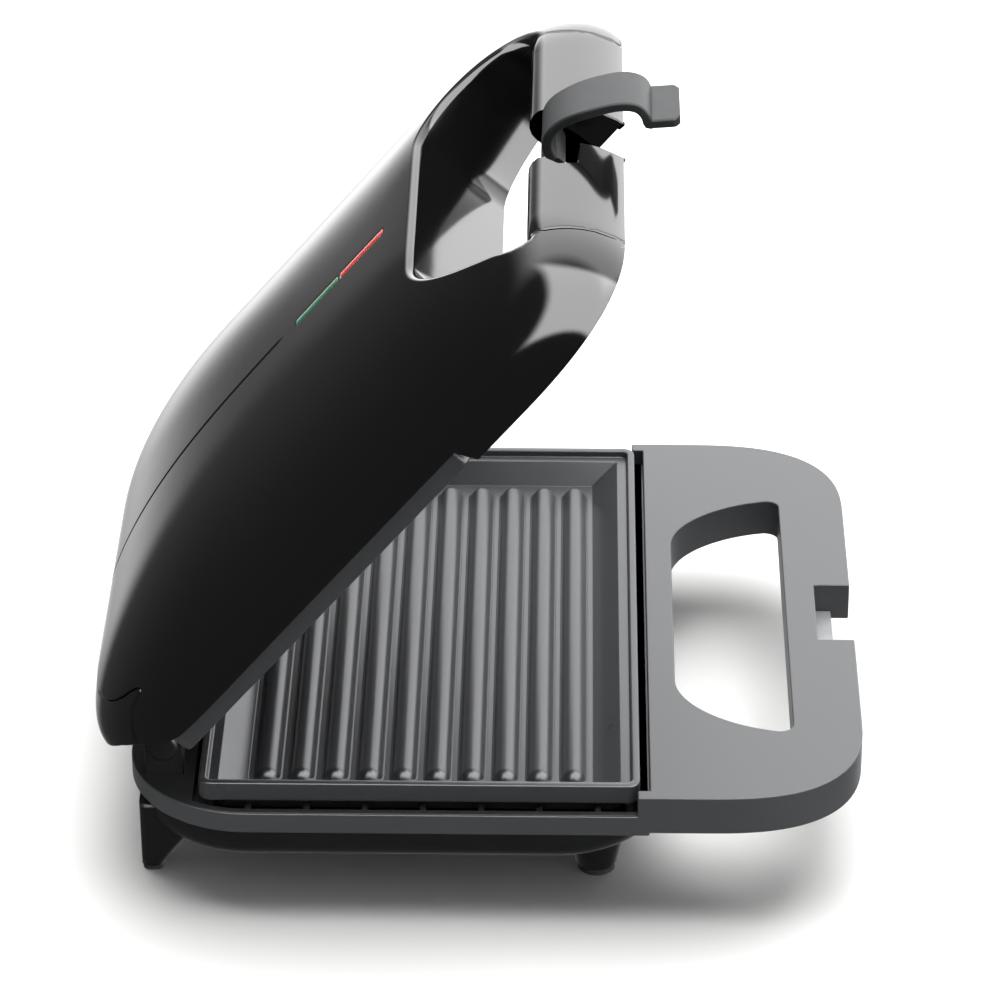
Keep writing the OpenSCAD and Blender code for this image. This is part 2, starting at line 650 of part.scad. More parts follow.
// Frame that closes the lid round the upper plate, stepped up over the hinge.
module lid_frame() {
    z0 = z_side + 1.2;
    z_bar = z_rim + plate_gap + floor_drop + plate_t + post_h;
    ring_t = 1.6;
    color("#1c1d1e") opened() {
        difference() {
            union() {
                intersection() {
                    slab(lid_outline((wall + fit + 4.4) * wide), z0, z0 + ring_t);
                    box([-half_w, y_handle + 2, 0], [half_w, y_step, 99]);
                }
                intersection() {
                    slab(lid_outline((wall + fit + 7.6) * wide), z0, z_back + bar_t);
                    box([-half_w, y_step - 2, 0], [half_w, y_step, 99]);
                }
                intersection() {
                    slab(lid_outline((wall + fit + 7.6) * wide), z_back, z_back + bar_t);
                    box([-half_w, y_step - 1, 0], [half_w, y_lid, 99]);
                }
            }
            box([-plate_w / 2 + pan_in - fit * 2, y_plate0 + pan_in - fit * 2, 0],
                [plate_w / 2 - pan_in + fit * 2, y_plate1 - pan_in + fit * 2, z0 + 3]);
        }
        // two bars over the plate, which its screws pull on
        difference() {
            for (s = [-1, 1]) {
                box([s * post_x - 5, y_plate0 + 2, z_bar], [s * post_x + 5, y_plate1 - 2, z_bar + bar_t]);
                for (y = [y_plate0 + 2, y_plate1 - 2 - bar_t])
                    box([s * post_x - 5, y, z0 + ring_t - eps], [s * post_x + 5, y + bar_t, z_bar + eps]);
            }
            translate([0, plate_mid, z_bar - 1]) at_posts() cylinder(r = screw_r + 0.1, h = bar_t + 2, $fn = 32);
        }
        for (s = [-1, 1]) for (i = [0:4]) translate([s * (plate_w / 2 - strip_in), y_plate0 + 20 + 24 * i, 0])
            box([-strip_t, -strip_t, z_side], [strip_t, strip_t, z0 + eps]);
    }
}

module hinge_arm(s) {
    x0 = s > 0 ? arm_x : -arm_x - ear_t;
    color("#1c1d1e") opened() translate([0, axis_y, axis_z]) difference() {
        union() {
            rod_x(ear_r, x0, x0 + ear_t);
            box([x0, -ear_r, 0], [x0 + ear_t, ear_r, rear_lift]);
        }
        rod_x(pin_r + run, x0 - 1, x0 + ear_t + 1);
    }
}
module left_hinge_arm() hinge_arm(-1);
module right_hinge_arm() hinge_arm(1);

// Indicator windows along the lid's centre line; s is 0 for green and 1 for red.
module window_box(g, s) {
    y = window_y + (1 - s) * (window_l + window_gap);
    box([-window_w / 2 - g, y - g, z_top - 4.4], [window_w / 2 + g, y + window_l + g, z_top + 1]);
}
module window(s) {
    opened() intersection() {
        window_box(0, s);
        dome(0, 0);
    }
}
module green_window() color("#1e9e5a") window(0);
module red_window() color("#e0452c") window(1);

module indicator_lamps() {
    color("#e8dccb") opened() for (s = [0, 1])
        translate([0, window_y + window_l / 2 + (1 - s) * (window_l + window_gap), lamp_z]) {
            cylinder(r = lamp_r, h = 3, $fn = 32);
            translate([0, 0, 3]) sphere(r = lamp_r - 1, $fn = 32);
        }
}
module lamp_holder() {
    color("#e8e6df") opened() difference() {
        box([-7, window_y - 2, lamp_z - holder_t], [7, window_y + 2 * window_l + window_gap + 2, lamp_z]);
        for (s = [0, 1]) translate([0, window_y + window_l / 2 + (1 - s) * (window_l + window_gap), lamp_z - 4])
            cylinder(r = 1, h = 6, $fn = 24);
    }
}
module lid_leads() {
    color("#c43c2c") opened() for (s = [-1, 1]) translate([s * 3, window_y + 2 * window_l + window_gap + 2 + fit,
        lamp_z - holder_t / 2]) rotate([-90, 0, 0]) cylinder(r = lead_r - 0.1, h = 34, $fn = 24);
}

// Points of the latch's middle line, as [distance towards the front, height] from its pivot.
latch_line = concat(
    [for (t = [0:0.2:1]) [bez(1.5, 4, 16, 27.5, t), bez(0.5, 12, 6.5, -1.9, t)]],
    [for (t = [0.25:0.25:1]) [bez(27.5, 31.5, 34, 30.9, t), bez(-1.9, -5.2, -9, -12.9, t)]],
    [[31.6, -14.4], [34.4, -17.3], [37.3, -20.2]]);
function unit(v) = v / norm(v);
function side(p, i) = let (d = unit(p[min(i + 1, len(p) - 1)] - p[max(i - 1, 0)])) [-d[1], d[0]];
function strap(p, t) = concat([for (i = [0:len(p) - 1]) p[i] + side(p, i) * t / 2],
    [for (i = [len(p) - 1:-1:0]) p[i] - side(p, i) * t / 2]);

module latch() {
    color("#4a4c4e") opened() translate([0, latch_y, latch_z]) difference() {
        union() {
            along_x(latch_w) polygon(strap(latch_line, latch_t));
            rod_x(latch_pin_r + 2.2, -latch_w / 2, latch_w / 2);
        }
        rod_x(latch_pin_r + run, -latch_w, latch_w);
    }
}
module latch_pin() {
    color("#b0b2b4") opened() translate([0, latch_y, latch_z])
        rod_x(latch_pin_r, -slot_w / 2 - wall, slot_w / 2 + wall);
}

// ---- drawing ----
base_frame();
base_cover();
handle_cover();
latch_strike();
left_rear_foot();
right_rear_foot();
left_front_foot();
right_front_foot();
foot_pads();
lower_plate();
lower_element();
lower_clips();
lower_reflector();
thermostat();
thermal_fuse();
terminal_block();
cord_bush();
base_leads();
lower_plate_screws();
left_hinge_pin();
right_hinge_pin();
lid_shell();
lid_hinge_cover();
lid_grip();
grip_cover();
lid_frame();
left_hinge_arm();
right_hinge_arm();
upper_plate();
upper_element();
upper_clips();
upper_reflector();
upper_plate_screws();
green_window();
red_window();
indicator_lamps();
lamp_holder();
lid_leads();
latch();
latch_pin();
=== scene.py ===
"""Looks of a panini press: a domed gloss lid on a rear hinge over two ribbed plates, with a D-shaped handle.

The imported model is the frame. Sizes below are in millimetres unless a property says otherwise, and the
pieces of the lid are laid out with the lid shut and then turned about the hinge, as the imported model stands.
"""
import json
import math

import bmesh
import bpy
import numpy as np
from bpy.props import FloatProperty, IntProperty, PointerProperty, StringProperty
from mathutils import Matrix, Vector
from mathutils.geometry import delaunay_2d_cdt


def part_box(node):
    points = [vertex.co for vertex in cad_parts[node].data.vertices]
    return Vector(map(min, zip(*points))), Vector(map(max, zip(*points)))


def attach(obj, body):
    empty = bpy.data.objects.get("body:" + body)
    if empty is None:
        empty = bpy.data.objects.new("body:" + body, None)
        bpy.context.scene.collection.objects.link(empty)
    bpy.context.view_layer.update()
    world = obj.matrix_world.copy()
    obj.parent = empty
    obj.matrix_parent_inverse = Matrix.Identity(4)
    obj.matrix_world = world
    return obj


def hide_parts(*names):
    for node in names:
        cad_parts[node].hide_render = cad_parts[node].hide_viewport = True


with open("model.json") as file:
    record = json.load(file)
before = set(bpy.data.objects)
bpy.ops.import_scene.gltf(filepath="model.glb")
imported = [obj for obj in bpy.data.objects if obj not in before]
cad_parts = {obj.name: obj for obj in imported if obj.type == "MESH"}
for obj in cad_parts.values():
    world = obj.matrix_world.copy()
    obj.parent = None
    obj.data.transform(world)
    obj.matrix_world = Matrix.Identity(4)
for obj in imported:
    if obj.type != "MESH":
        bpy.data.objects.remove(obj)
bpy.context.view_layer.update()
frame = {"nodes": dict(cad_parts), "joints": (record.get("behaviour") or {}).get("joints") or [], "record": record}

bl_info = {
    "name": "Panini press",
    "version": (1, 0, 0),
    "blender": (4, 5, 0),
    "location": "3D View > Sidebar > Press",
    "description": "Builds the visible pieces, finishes and stage of a panini press round its packed model",
    "category": "Object",
}

MM = 0.001


# ---- places and sizes taken from the frame ----

def corners(node):
    """Lowest and highest corner of a CAD node, in millimetres."""
    low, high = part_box(node)
    return low / MM, high / MM


BASE_LOW, BASE_HIGH = corners("base_frame")
TUB_LOW = corners("base_cover")[0]
PLATE_LOW, PLATE_HIGH = corners("lower_plate")
HALF_W = BASE_HIGH.x
FRONT = BASE_LOW.y
REAR = BASE_HIGH.y
Z_BAND0 = BASE_LOW.z
Z_UNDER = corners("handle_cover")[0].z
HANDLE_TOP = PLATE_HIGH.z - 1.1                # the plate's rim stands proud of the handle
Y_HANDLE = PLATE_LOW.y - 3                     # back of the handle, a gap in front of the plate
Z_BAND = HANDLE_TOP - 7
Z_DECK = Z_BAND - 4
PLATE_GAP = 0.8
REAR_CORNER = 38.0                             # radius of the base's rear corners
LEG_X = 78.0                                   # middle of a rear leg's foot
RIM_H = 6.4                                    # height of a plate's rim
FLOOR_DROP = 9.6                               # grill floor under the rim

JOINTS = {joint["name"]: joint for joint in frame["joints"]}
HINGE = Vector(JOINTS["lid_hinge"]["pos_m"]) / MM
OPEN_ANGLE = math.radians(-JOINTS["lid_hinge"]["range_deg"][0])
OPENED = Matrix.Translation(HINGE) @ Matrix.Rotation(-OPEN_ANGLE, 4, "X") @ Matrix.Translation(-HINGE)
PIVOT = OPENED.inverted() @ (Vector(JOINTS["latch_pivot"]["pos_m"]) / MM)

# The handle's finger hole and the notch for the latch
GRIP_Y = FRONT + 21.7                          # front edge of the finger hole
HOLE_Y = GRIP_Y + 36.8
HOLE_HALF = 72.0
HOLE_BACK_HALF = 42.0
NOTCH_HALF = 17.0
NOTCH_Y = FRONT + 11.8

# The lid's dome
Z_LID = HANDLE_TOP + 1.7
Z_SIDE = PLATE_HIGH.z + PLATE_GAP + RIM_H
Z_BACK = HINGE.z + 12.6
Z_TOP = HANDLE_TOP + 39.3
Y_LID = REAR + 8
Y_STEP = HINGE.y - 10
CENTRE = np.array([0.0, FRONT + (Y_LID - FRONT) * 0.43])
DOME_POWER = 4
DOME_EDGE = 1.8
GRIP_HALF = 70.0
SLOT_HALF = 12.0
COVER_Y = HINGE.y - 12.5
COVER_Z = Z_TOP - 14
WINDOW_Y = HOLE_Y + 14
WINDOW_L = 20.6
WINDOW_HALF = 2.0


# ---- properties ----

class PressSizes(bpy.types.PropertyGroup):
    """Sizes of edges and gaps"""
    lip: FloatProperty(name="Hole lip", description="Radius of the rounded lip round the lid's hole",
                       default=0.0026, min=0.001, max=0.005, unit="LENGTH")
    grip_lip: FloatProperty(name="Grip lip", description="Radius of the lip along the grip's rear edge",
                            default=0.006, min=0.002, max=0.008, unit="LENGTH")
    roll: FloatProperty(name="Seam edge", description="Rounding of the edges along the lid's seams",
                        default=0.0008, min=0.0001, max=0.001, unit="LENGTH")
    seam: FloatProperty(name="Seam gap", description="Gap between two mouldings of the lid",
                        default=0.00045, min=0.0002, max=0.001, unit="LENGTH")
    skin: FloatProperty(name="Lid wall", description="Wall thickness of the lid's mouldings",
                        default=0.0024, min=0.0015, max=0.003, unit="LENGTH")
    edge: FloatProperty(name="Base edge", description="Rounding of the base's moulded edges",
                        default=0.0009, min=0.0002, max=0.002, unit="LENGTH")
    grid: FloatProperty(name="Lid mesh", description="Spacing of the lid's mesh",
                        default=0.004, min=0.002, max=0.008, unit="LENGTH")
    strap_w: FloatProperty(name="Latch width", description="Width of the latch's strap",
                           default=0.022, min=0.018, max=0.0225, unit="LENGTH")
    strap_t: FloatProperty(name="Latch thickness", description="Thickness of the latch's strap",
                           default=0.003, min=0.002, max=0.003, unit="LENGTH")
    ribs: IntProperty(name="Ribs", description="Number of ribs on each plate", default=10, min=7, max=11)
    rib_pitch: FloatProperty(name="Rib pitch", description="Spacing of the ribs",
                             default=0.0106, min=0.009, max=0.0109, unit="LENGTH")


class PressColours(bpy.types.PropertyGroup):
    """Colours of the finishes, as sRGB hex values"""
    gloss: StringProperty(name="Lid", description="Gloss black ABS of the lid", default="#0e0e0f")
    satin: StringProperty(name="Base", description="Satin grey ABS of the base and handle", default="#434446")
    # Near black partly as painted shade: the belly, legs, ears and deck pieces in this colour sit in shadow.
    tub: StringProperty(name="Tub", description="Moulded ABS under the base", default="#0e0f10")
    coating: StringProperty(name="Plates", description="Non-stick coat of the plates", default="#4a4b4d")
    strap: StringProperty(name="Latch", description="Glass-filled nylon of the latch", default="#222324")
    green: StringProperty(name="Green lens", description="Ready lamp's lens", default="#04683f")
    red: StringProperty(name="Red lens", description="Power lamp's lens", default="#c81e0a")
    floor: StringProperty(name="Floor", description="Paper sweep under the press", default="#f4f4f3")


ROOM = 0.1                                     # what gloss surfaces mirror between the softboxes
AMBIENT = 0.2                                  # light of the room on matt surfaces
# Softboxes that gloss surfaces mirror: direction, half sizes (sines) of the even part, soft edge, brightness
SOFTBOXES = (((-0.35, -0.42, 0.87), (0.5, 0.69), 0.1, 9.0), ((0.83, -0.3, 0.47), (0.5, 0.5), 0.25, 3.3),
             ((0.86, -0.1, -0.5), (0.0, 0.0), 0.62, 1.3))


# ---- finishes ----

def colour(text):
    """Linear RGBA of an sRGB hex colour."""
    parts = [int(text[i:i + 2], 16) / 255 for i in (1, 3, 5)]
    return tuple(c / 12.92 if c <= 0.04045 else ((c + 0.055) / 1.055) ** 2.4 for c in parts) + (1.0,)


def add(mat, kind, settings=None, **links):
    """Adds a node with its settings, and links its inputs, named with _ for a space, from other sockets."""
    tree = mat.node_tree
    node = tree.nodes.new(kind)
    for key, value in (settings or {}).items():
        if hasattr(node, key):
            setattr(node, key, value)
        else:
            node.inputs[key].default_value = value
    for key, source in links.items():
        tree.links.new(source, node.inputs[key.replace("_", " ")])
    return node


def finish(name, base, roughness, **inputs):
    """A material with a Principled shader; returned with the shader and its coordinates in millimetres."""
    mat = bpy.data.materials.new(name)
    mat.use_nodes = True
    shader = mat.node_tree.nodes["Principled BSDF"]
    shader.inputs["Base Color"].default_value = colour(base)
    shader.inputs["Roughness"].default_value = roughness
    for key, value in inputs.items():
        shader.inputs[key.replace("_", " ")].default_value = value
    place = add(mat, "ShaderNodeTexCoord")
    scale = add(mat, "ShaderNodeMapping", {"Scale": (1 / MM, 1 / MM, 1 / MM)}, Vector=place.outputs["Object"])
    return mat, shader, scale.outputs["Vector"]


def grain(mat, shader, where, size, depth, shift=0.0, tones=None, patch=12.0):
    """Gives a shader the bump of a noise of that size and depth in millimetres, a roughness that shifts
    with it, and a colour that drifts between two tones over patches."""
    noise = add(mat, "ShaderNodeTexNoise", {"Scale": 1 / size, "Detail": 3.0, "Roughness": 0.55},
                Vector=where)
    bump = add(mat, "ShaderNodeBump", {"Strength": 1.0, "Distance": depth * MM}, Height=noise.outputs["Fac"])
    mat.node_tree.links.new(bump.outputs["Normal"], shader.inputs["Normal"])
    wide = add(mat, "ShaderNodeTexNoise", {"Scale": 1 / patch, "Detail": 2.0}, Vector=where)
    if shift:
        rough = shader.inputs["Roughness"].default_value
        spread = add(mat, "ShaderNodeMapRange", {"To Min": rough - shift, "To Max": rough + shift},
                     Value=wide.outputs["Fac"])
        mat.node_tree.links.new(spread.outputs["Result"], shader.inputs["Roughness"])
    if tones:
        mix = add(mat, "ShaderNodeMix", {"data_type": "RGBA"})
        mat.node_tree.links.new(wide.outputs["Fac"], mix.inputs["Factor"])
        mix.inputs[6].default_value = colour(tones[0])
        mix.inputs[7].default_value = colour(tones[1])
        mat.node_tree.links.new(mix.outputs[2], shader.inputs["Base Color"])
    return noise


def shade(text, factor):
    """A hex colour made darker or lighter by a factor."""
    parts = [min(255, round(int(text[i:i + 2], 16) * factor)) for i in (1, 3, 5)]
    return "#" + "".join(f"{p:02x}" for p in parts)


def gloss_abs(colours):
    # High-gloss moulded ABS: a mirror skin with a faint moulding ripple, which bends reflections slightly.
    mat, shader, where = finish("gloss_black_abs", colours.gloss, 0.09, IOR=1.53)
    grain(mat, shader, where, 14.0, 0.012, 0.02)
    return mat


def grip_abs(colours):
    # The same ABS from a second tool, polished a little less, so its reflections are softer.
    mat, shader, where = finish("polished_black_abs", shade(colours.gloss, 1.6), 0.16, IOR=1.53)
    grain(mat, shader, where, 10.0, 0.01, 0.03)
    return mat


def satin_abs(colours):
    # Spark-eroded moulded ABS: a fine even pebble, 0.5 mm here so that it shows, that spreads the light.
    mat, shader, where = finish("satin_grey_abs", colours.satin, 0.42, IOR=1.53, Specular_IOR_Level=0.4)
    tones = (shade(colours.satin, 0.97), shade(colours.satin, 1.03))
    grain(mat, shader, where, 0.5, 0.012, 0.04, tones, 30.0)
    return mat


def painted_shade_abs(colours):
    # Moulded ABS inside and under the casing: its colour is taken down to near black as painted shade, for faces
    # that sit in the shadow of the casing and the lid, with the same pebble.
    mat, shader, where = finish("moulded_abs_painted_shade", colours.tub, 0.45, IOR=1.53)
    grain(mat, shader, where, 0.6, 0.015, 0.05, (shade(colours.tub, 0.9), shade(colours.tub, 1.1)), 25.0)
    return mat


def strike_abs(colours):
    # The latch ledge, where the hook slides: satin ABS made lighter as painted light on its sloped face, with a
    # patchy tone.
    mat, shader, where = finish("ledge_grey_abs_painted_light", "#8d8f91", 0.36, IOR=1.53)
    grain(mat, shader, where, 0.5, 0.01, 0.06, ("#838587", "#989a9c"), 4.0)
    return mat


def nonstick(colours):
    # Sprayed and baked PTFE coat on cast aluminium: dark grey, satin, a fine spray texture and light flecks.
    mat, shader, where = finish("nonstick_coated_aluminium", colours.coating, 0.3, IOR=1.38, Metallic=0.35)
    grain(mat, shader, where, 0.7, 0.01, 0.05)
    fleck = add(mat, "ShaderNodeTexVoronoi", {"Scale": 1 / 1.1}, Vector=where)
    mask = add(mat, "ShaderNodeMapRange", {"From Min": 0.05, "From Max": 0.16, "To Min": 0.5, "To Max": 0.0},
               Value=fleck.outputs["Distance"])
    mix = add(mat, "ShaderNodeMix", {"data_type": "RGBA"})
    mat.node_tree.links.new(mask.outputs["Result"], mix.inputs["Factor"])
    mix.inputs[6].default_value = colour(colours.coating)
    mix.inputs[7].default_value = colour(shade(colours.coating, 1.5))
    mat.node_tree.links.new(mix.outputs[2], shader.inputs["Base Color"])
    return mat


def latch_nylon(colours):
    # Glass-filled nylon: matte, slightly mottled by the fibres near its surface.
    mat, shader, where = finish("glass_filled_nylon", colours.strap, 0.5, IOR=1.53, Specular_IOR_Level=0.25)
    grain(mat, shader, where, 0.8, 0.015, 0.05, (shade(colours.strap, 0.94), shade(colours.strap, 1.06)), 3.0)
    return mat


def lens(name, tint):
    # Tinted polycarbonate light window: clear gloss skin over moulded prisms that split the light into lines.
    mat, shader, where = finish(name, tint, 0.16, IOR=1.58)
    lines = add(mat, "ShaderNodeTexWave", {"Scale": 0.55, "Distortion": 1.2, "bands_direction": "Y"},
                Vector=where)
    bump = add(mat, "ShaderNodeBump", {"Strength": 0.7, "Distance": 0.0003}, Height=lines.outputs["Fac"])
    mat.node_tree.links.new(bump.outputs["Normal"], shader.inputs["Normal"])
    mix = add(mat, "ShaderNodeMix", {"data_type": "RGBA"})
    mat.node_tree.links.new(lines.outputs["Fac"], mix.inputs["Factor"])
    mix.inputs[6].default_value = colour(shade(tint, 0.72))
    mix.inputs[7].default_value = colour(shade(tint, 1.12))
    mat.node_tree.links.new(mix.outputs[2], shader.inputs["Base Color"])
    return mat


def green_lens(colours):
    return lens("green_polycarbonate", colours.green)


def red_lens(colours):
    return lens("red_polycarbonate", colours.red)


def rubber(colours):
    # Moulded nitrile rubber: near black and dull, with a soft bloom.
    mat, shader, where = finish("moulded_rubber", "#1c1c1c", 0.72, IOR=1.52)
    grain(mat, shader, where, 0.8, 0.03, 0.06, ("#191919", "#232323"), 5.0)
    return mat


def zinc_steel(colours):
    # Bright zinc-plated steel of the pins, clips and screws, with a light drawn grain.
    mat, shader, where = finish("zinc_plated_steel", "#b9bcbf", 0.3, Metallic=1.0)
    grain(mat, shader, where, 0.6, 0.004, 0.08, ("#aeb1b4", "#c3c6c8"), 3.0)
    return mat


def element_steel(colours):
    # Annealed stainless tube of the elements, browned by heat.
    mat, shader, where = finish("annealed_steel", "#8b8176", 0.42, Metallic=1.0)
    grain(mat, shader, where, 0.8, 0.006, 0.08, ("#74695e", "#9a9187"), 9.0)
    return mat


def tray_aluminium(colours):
    # Rolled aluminium sheet of the heat trays: bright, with fine rolling lines.
    mat, shader, where = finish("rolled_aluminium", "#c9cbcd", 0.28, Metallic=1.0)
    grain(mat, shader, where, 0.5, 0.004, 0.06)
    return mat


def ceramic(colours):
    # Unglazed steatite of the thermostat, terminals and lamp holder: off-white and chalky.
    mat, shader, where = finish("steatite_ceramic", "#ddd8cb", 0.6, IOR=1.55)
    grain(mat, shader, where, 0.4, 0.01, 0.05, ("#d5cfc0", "#e4e0d5"), 4.0)
    return mat


def fuse_case(colours):
    # Lacquered brass-coloured case of the thermal fuse.
    mat, shader, where = finish("lacquered_brass", "#c2a865", 0.3, Metallic=1.0)
    grain(mat, shader, where, 0.5, 0.003, 0.05)
    return mat


def silicone(colours):
    # Silicone rubber sleeve of the leads: soft sheen, brick red.
    mat, shader, where = finish("silicone_sleeve", "#b13a2b", 0.45, IOR=1.43)
    grain(mat, shader, where, 0.7, 0.01, 0.05, ("#a53426", "#bc4333"), 5.0)
    return mat


def lamp_glass(colours):
    # Blown glass of the neon lamps, seen as a pale gloss bead.
    mat, shader, where = finish("lamp_glass", "#e5d7c4", 0.08, IOR=1.5, Transmission_Weight=0.4)
    grain(mat, shader, where, 2.0, 0.004, 0.02)
    return mat


FINISHES = {
    "base_abs": satin_abs, "tub_abs": painted_shade_abs, "strike_abs": strike_abs, "pad_rubber": rubber,
    "nonstick_plate": nonstick, "element_steel": element_steel, "zinc_steel": zinc_steel,
    "tray_aluminium": tray_aluminium, "ceramic": ceramic, "fuse_case": fuse_case, "lead_silicone": silicone,
    "lid_gloss": gloss_abs, "lid_satin": grip_abs, "green_lens": green_lens, "red_lens": red_lens,
    "lamp_glass": lamp_glass, "latch_nylon": latch_nylon,
}
SLOT_OF = {part["node"]: part["material_slot"] for part in frame["record"]["subparts"]}
made = {}


def finish_of(slot):
    """The material of one of the record's slots, made once."""
    if slot not in made:
        made[slot] = FINISHES[slot](bpy.context.scene.press_colours)
    return made[slot]


# ---- mesh helpers ----

def piece(name, mesh, body, slot, *nodes):
    """Puts a finished mesh into the scene as a piece that rides on a body and stands for CAD nodes."""
    obj = bpy.data.objects.new(name, mesh)
    bpy.context.scene.collection.objects.link(obj)
    mesh.materials.clear()
    mesh.materials.append(finish_of(slot))
    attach(obj, body)
    if nodes:
        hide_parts(*nodes)
    return obj


def mesh_of(name, verts, faces, place=None):
    """A mesh from vertices in millimetres, turned by place."""
    mesh = bpy.data.meshes.new(name)
    turned = [place @ Vector(v) if place else Vector(v) for v in verts]
    mesh.from_pydata([v * MM for v in turned], [], faces)
    mesh.validate()
    return mesh


def smooth(mesh, angle=30):
    """Smooth shading with sharp edges over an angle."""
    mesh.shade_smooth()
    mesh.set_sharp_from_angle(angle=math.radians(angle))
    return mesh


def weighted(mesh):
    """Smooth shading in which the wide faces stay flat and the narrow ones round the edges between them."""
    mesh.shade_smooth()
    obj = bpy.data.objects.new("work", mesh)
    bpy.context.scene.collection.objects.link(obj)
    normals = obj.modifiers.new("shading", "WEIGHTED_NORMAL")
    normals.mode = "FACE_AREA"
    normals.weight = 100
    result = apply(obj).data.copy()
    bpy.data.objects.remove(obj)
    return result


def loft(loops, caps=(True, True)):
    """Vertices and faces of a skin over closed loops of equal length, from the lower end to the upper end."""
    n = len(loops[0])
    verts = [p for loop in loops for p in loop]
    faces = []
    for k in range(len(loops) - 1):
        for i in range(n):
            j = (i + 1) % n
            faces.append((k * n + i, k * n + j, (k + 1) * n + j, (k + 1) * n + i))
    if caps[0]:
        faces.append(tuple(reversed(range(n))))
    if caps[1]:
        faces.append(tuple(range((len(loops) - 1) * n, len(loops) * n)))
    return verts, faces


def merged(parts):
    """One list of vertices and faces from several."""
    verts, faces = [], []
    for part_verts, part_faces in parts:
        start = len(verts)
        verts += part_verts
        faces += [tuple(i + start for i in face) for face in part_faces]
    return verts, faces


def prism(outline, low, high):
    """A straight solid over a closed outline that runs anticlockwise."""
    return loft([[(x, y, low) for x, y in outline], [(x, y, high) for x, y in outline]])


def block(low, high):
    """A plain block between two corners, as a cutting tool or a core."""
    (x0, y0, z0), (x1, y1, z1) = low, high
    return prism([(x0, y0), (x1, y0), (x1, y1), (x0, y1)], z0, z1)


def solid(parts):
    """A hidden object made of closed solids, for the boolean work."""
    obj = bpy.data.objects.new("work", mesh_of("work", *merged(parts)))
    bpy.context.scene.collection.objects.link(obj)
    return obj


def apply(obj):
    """Replaces an object's mesh by what its modifiers make of it."""
    graph = bpy.context.evaluated_depsgraph_get()
    mesh = bpy.data.meshes.new_from_object(obj.evaluated_get(graph))
    obj.modifiers.clear()
    obj.data = mesh
    return obj


def combine(obj, parts, operation):
    """Joins solids to an object or cuts them from it."""
    tool = solid(parts)
    change = obj.modifiers.new("change", "BOOLEAN")
    change.operation = operation
    change.object = tool
    change.solver = "EXACT"
    change.use_self = True
    apply(obj)
    bpy.data.objects.remove(tool)
    return obj


def rounded(obj, width, segments=3, angle=40):
    """The object's mesh with its edges rounded; the work object is removed."""
    clean = bmesh.new()
    clean.from_mesh(obj.data)
    bmesh.ops.remove_doubles(clean, verts=clean.verts, dist=0.02 * MM)
    bmesh.ops.dissolve_limit(clean, angle_limit=math.radians(0.5), verts=clean.verts, edges=clean.edges)
    for face in clean.faces:
        face.smooth = True
    clean.to_mesh(obj.data)
    clean.free()
    bevel = obj.modifiers.new("edges", "BEVEL")
    bevel.width = width
    bevel.segments = segments
    bevel.limit_method = "ANGLE"
    bevel.angle_limit = math.radians(angle)
    bevel.use_clamp_overlap = True
    normals = obj.modifiers.new("shading", "WEIGHTED_NORMAL")
    normals.mode = "FACE_AREA"
    normals.weight = 100
    mesh = apply(obj).data.copy()
    bpy.data.objects.remove(obj)
    return mesh


def superquarter(centre, reach, power, start, n):
    """Points along a quarter of a superellipse about a centre, from its start angle in quarters."""
    points = []
    for i in range(n + 1):
        t = math.pi / 2 * (start + i / n)
        c, s = math.cos(t), math.sin(t)
        points.append((centre[0] + math.copysign(abs(c) ** (2 / power), c) * reach[0],
                       centre[1] + math.copysign(abs(s) ** (2 / power), s) * reach[1]))
    return points


def body_outline(inset, rear, rear_reach, rear_power, n=24):
    """The outline of the base or the lid, anticlockwise from its front, moved in by inset."""
    w = HALF_W - inset
    front = FRONT + inset
    fx, fy = 45 - inset, 50 - inset
    rx, ry = rear_reach[0] - inset, rear_reach[1] - inset
    right = (superquarter((w - fx, front + fy), (fx, fy), 2.6, 3, n)
             + superquarter((w - rx, rear - inset - ry), (rx, ry), rear_power, 0, n))
    return right + [(-x, y) for x, y in reversed(right)]


def base_outline(inset=0.0):
    return body_outline(inset, REAR, (REAR_CORNER, REAR_CORNER), 2)


def clipped(outline, low, high):
    """The part of an outline with y between two values; the outline is straight where it is cut."""
    kept = []
    for (x0, y0), (x1, y1) in zip(outline, outline[1:] + outline[:1]):
        if low <= y0 <= high:
            kept.append((x0, y0))
        for limit in ((low, high) if y1 > y0 else (high, low)):
            if (y0 - limit) * (y1 - limit) < 0:
                kept.append((x0 + (x1 - x0) * (limit - y0) / (y1 - y0), limit))
    return kept


def bezier(a, b, c, d, t):
    return a * (1 - t) ** 3 + 3 * b * t * (1 - t) ** 2 + 3 * c * t * t * (1 - t) + d * t ** 3


def hole_outline(n=22):
    """The finger hole, anticlockwise: a straight front, tight front corners, sides that sweep to the rear."""
    w, b = HOLE_HALF, HOLE_BACK_HALF
    right = [(w * i / 12, GRIP_Y) for i in range(12)] + superquarter((w - 4, GRIP_Y + 4.5), (4, 4.5), 2, 3, 5)
    right += [(bezier(w, w - 3, b + 14, b, i / n), bezier(GRIP_Y + 4.5, HOLE_Y - 15, HOLE_Y, HOLE_Y, i / n))
              for i in range(1, n + 1)]
    right += [(b * (1 - i / 10), HOLE_Y) for i in range(1, 11)]
    left = [(-x, y) for x, y in reversed(right) if x > 0]
    return right + left


# ---- base ----

def ear(side):
    """A hinge ear: an upright with a round top, thickness along X."""
    radius, thick = 6.0, 7.0
    x0 = side * 86 - thick / 2
    profile = [(HINGE.y + radius, Z_DECK - 2)]
    for i in range(17):
        a = math.pi * i / 16
        profile.append((HINGE.y + radius * math.cos(a), HINGE.z + radius * math.sin(a)))
    profile.append((HINGE.y - radius, Z_DECK - 2))
    return loft([[(x, y, z) for y, z in profile] for x in (x0, x0 + thick)])


